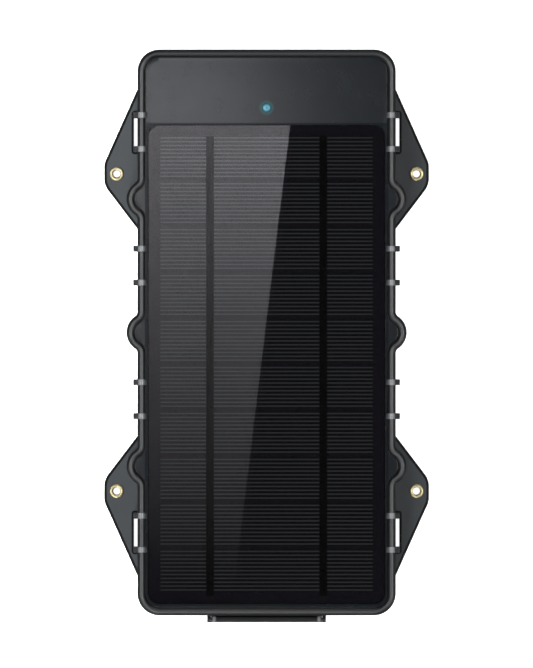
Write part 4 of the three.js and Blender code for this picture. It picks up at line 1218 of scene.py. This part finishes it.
def makePowerKey():
    low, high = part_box("power_key")
    centre = middle("power_key")
    start = -halfLength + front["cavityInset"] + key["gap"]

    def disc(name, radius, bottom, top):
        ring = arc(centre.x, centre.z, radius, 0, 2 * math.pi, 24)[:-1]
        return standing(name, lambda inset: ring, bottom, top)

    corners = around(centre, *key["cap"])
    join = start + 0.1 * mm
    cap = standingBox("powerKey", *corners, 0, key["capCorner"], low.y, join, key["capRound"])
    end = start + key["flange"]
    flange = standingBox("flange", low, high, 0, key["flangeCorner"], start, end)
    stem = disc("stem", key["stem"], end - 0.1 * mm, high.y)
    carve(cap, [flange, stem], "UNION")
    carve(cap, [disc("dimple", key["dimple"], low.y - mm, low.y + key["dimpleDepth"])])
    smooth(cap, 35)
    finishPiece(cap, keyPlastic, "key_plastic", "power_key", "power_key")


makeUsbA()
makeUsbC()
makePowerKey()
print("sockets and key made")


# ---- finishes of the pieces kept from the frame

finishes = {
    silicon: cells,
    ribbonBlack: ["cell_ribbon_left", "cell_ribbon_right"],
    laminate: ["panel_backboard"],
    tapeWhite: ["panel_tape", "indicator_led"],
    solderMask: ["main_board", "indicator_board", "protection_board"],
    epoxy: ["charge_chip", "boost_inductor", "key_switch"],
    steel: ["board_screw_left", "board_screw_right"],
    foam: ["battery_pad", "battery_foam"],
    foil: ["battery_pouch"],
    sealRubber: ["shell_seal"],
    redWire: ["battery_lead_red"],
    blackWire: ["battery_lead_black", "indicator_lead", "panel_lead"],
}
for material, names in finishes.items():
    for name in names:
        nodes[name].data.materials.clear()
        nodes[name].data.materials.append(material)
print("finishes given")


# ---- stage, light and camera

# air: (height of the direction, brightness)
studio = {"air": [(0.05, 0.1), (0.88, 0.04), (0.97, 0.1)], "airWhite": 1.2, "floorHalf": 1.5,
          "floorGlow": 1.0, "floorDrop": 0.05 * mm, "frameHeight": 188.8 * mm, "lens": 1200, "sensor": 36,
          "lookAt": (-0.03 * mm, -0.45 * mm), "farEnd": 20}


def stagePlane(name, corners, level, material):
    mesh = bmesh.new()
    mesh.faces.new([mesh.verts.new((x, y, level)) for x, y in corners])
    plane = pieceFrom(name, mesh)
    plane.data.materials.append(material)
    return plane


paper = {"Roughness": 0.9, "Specular IOR Level": 0.0, "Base Color": linear("#f2f2f2")}
paper.update({"Emission Color": linear("#ffffff"), "Emission Strength": studio["floorGlow"]})
floorPaper = newMaterial("whitePaper", paper)[0]
half = studio["floorHalf"]
corners = [(-half, -half), (half, -half), (half, half), (-half, half)]
floor = stagePlane("floor", corners, -studio["floorDrop"], floorPaper)
floor.visible_glossy = False


def areaLight(name, place, aim, size, power):
    light = bpy.data.lights.new(name, "AREA")
    light.shape = "RECTANGLE"
    light.size, light.size_y = size
    light.energy = power
    holder = bpy.data.objects.new(name, light)
    holder.location = place
    holder.visible_transmission = False  # lamps already reach under the clear cover as shadow rays
    holder.rotation_euler = (Vector(aim) - Vector(place)).to_track_quat("-Z", "Y").to_euler()
    bpy.context.scene.collection.objects.link(holder)
    return holder


# two strips well off to the sides, seen by whatever curves over from left to right; one lamp for
# the end with the port cover; four low ones for the walls; a small one close over the left ears
strip, wide = (0.92, 0.30), (0.9, 0.14)
areaLight("stripLeft", (-0.87, 0.0, 1.34), (0, 0, 0), strip, 11)
areaLight("stripRight", (0.87, 0.0, 1.34), (0, 0, 0), strip, 12.5)
areaLight("endBottom", (-0.3, -0.9, 1.1), (0, 0, 0), (0.3, 0.4), 7.5)
areaLight("sideLeft", (-1, -0.5, 0.09), (0, 0, 0.01), wide, 1.6)
areaLight("sideRight", (1, -0.5, 0.09), (0, 0, 0.01), wide, 1.6)
areaLight("sideFar", (0.25, 1.1, 0.09), (0, 0, 0.01), wide, 1.6)
areaLight("sideNear", (-0.25, -1.1, 0.09), (0, 0, 0.01), wide, 1.6)
nearLamp = areaLight("nearKey", (-0.20, 0.12, 0.27), (-0.20, 0.12, 0), (0.12, 0.12), 0.95)
nearLamp.visible_glossy = False

# a soft card above the left of the case, seen only in its gloss; stops are (share of the
# panel's length from its bottom end, brightness)
card = {"height": 175 * mm, "topEdge": 6.66 * mm, "bottomEdge": -9.77 * mm, "leftEnd": -75 * mm,
        "stops": [(0.0, 0.08), (0.09, 0.165), (0.216, 0.4), (0.342, 0.62), (0.468, 0.88),
                  (0.636, 1.35), (0.804, 1.98), (0.93, 2.45), (1.0, 2.65)],
        "peak": 2.65, "faceEdge": -4 * mm, "faceEnd": 86 * mm, "facePeak": 4.35, "faceFill": 0.17,
        "past": 0.6 * mm, "footPast": 40 * mm}


def glowPlane(name, corners, strength, tint):
    material = bpy.data.materials.new(name + "Glow")
    material.use_nodes = True
    tree = material.node_tree
    tree.nodes.clear()
    material.cycles.emission_sampling = "NONE"  # found by the gloss itself, so it stays clean
    glow = addNode(tree, "ShaderNodeEmission", {"Color": linear(tint)})
    if callable(strength):
        tree.links.new(strength(tree), glow.inputs["Strength"])
    else:
        glow.inputs["Strength"].default_value = strength
    addNode(tree, "ShaderNodeOutputMaterial", None, {"Surface": glow.outputs[0]})
    plane = stagePlane(name, corners[::-1], panelHigh.z + card["height"], material)
    plane.visible_camera = False
    plane.visible_diffuse = False
    plane.visible_shadow = False


# how much larger the card's picture is than its reflection
cameraAway = studio["frameHeight"] * studio["lens"] / studio["sensor"]
cardGrow = 1 + card["height"] / cameraAway


def alongPanel(tree):
    along = split(tree, objectPlace(tree))["Y"]
    share = carried(tree, along, panelLow.y * cardGrow, panelHigh.y * cardGrow)
    peak = card["peak"]
    stops = [(place, (*[value / peak] * 3, 1)) for place, value in card["stops"]]
    return calculate(tree, "MULTIPLY", ramped(tree, share, stops), peak)


slope = (card["topEdge"] - card["bottomEdge"]) / (panelHigh.y - panelLow.y)
joint = (panelHigh.y + card["past"]) * cardGrow
edgeTop = (card["topEdge"] + slope * card["past"]) * cardGrow
edgeBottom = (card["bottomEdge"] - slope * card["footPast"]) * cardGrow
cardFoot = (panelLow.y - card["footPast"]) * cardGrow
leftEnd = card["leftEnd"]
corners = [(leftEnd, cardFoot), (edgeBottom, cardFoot), (edgeTop, joint), (leftEnd, joint)]
glowPlane("panelCard", corners, alongPanel, "#fffbfe")
for name, start, end, strength in [
    ("faceCard", leftEnd, card["faceEdge"], card["facePeak"]),
    ("faceFill", card["faceEdge"], -leftEnd, card["faceFill"]),
]:
    top = card["faceEnd"]
    glowPlane(name, [(start, joint), (end, joint), (end, top), (start, top)], strength, "#f7fbff")


# air that brightens towards the horizon and straight up; the camera itself sees plain white
world = bpy.data.worlds.new("studioAir")
bpy.context.scene.world = world
world.use_nodes = True
sky = world.node_tree
rise = split(sky, sky.nodes.new("ShaderNodeTexCoord").outputs["Generated"])["Z"]
air = ramped(sky, rise, [(at, (level, level, level * 1.04, 1)) for at, level in studio["air"]])
seen = sky.nodes.new("ShaderNodeLightPath").outputs["Is Camera Ray"]
white = (*[studio["airWhite"]] * 3, 1)
sky.links.new(mixed(sky, seen, air, white), sky.nodes["Background"].inputs["Color"])

bpy.context.scene.view_settings.view_transform = "Standard"

lens = bpy.data.cameras.new("camera")
lens.lens = studio["lens"]
lens.sensor_width = studio["sensor"]
lens.clip_end = studio["farEnd"]
camera = bpy.data.objects.new("camera", lens)
camera.location = (*studio["lookAt"], faceLevel + cameraAway)
bpy.context.scene.collection.objects.link(camera)
bpy.context.scene.camera = camera
print("stage set")
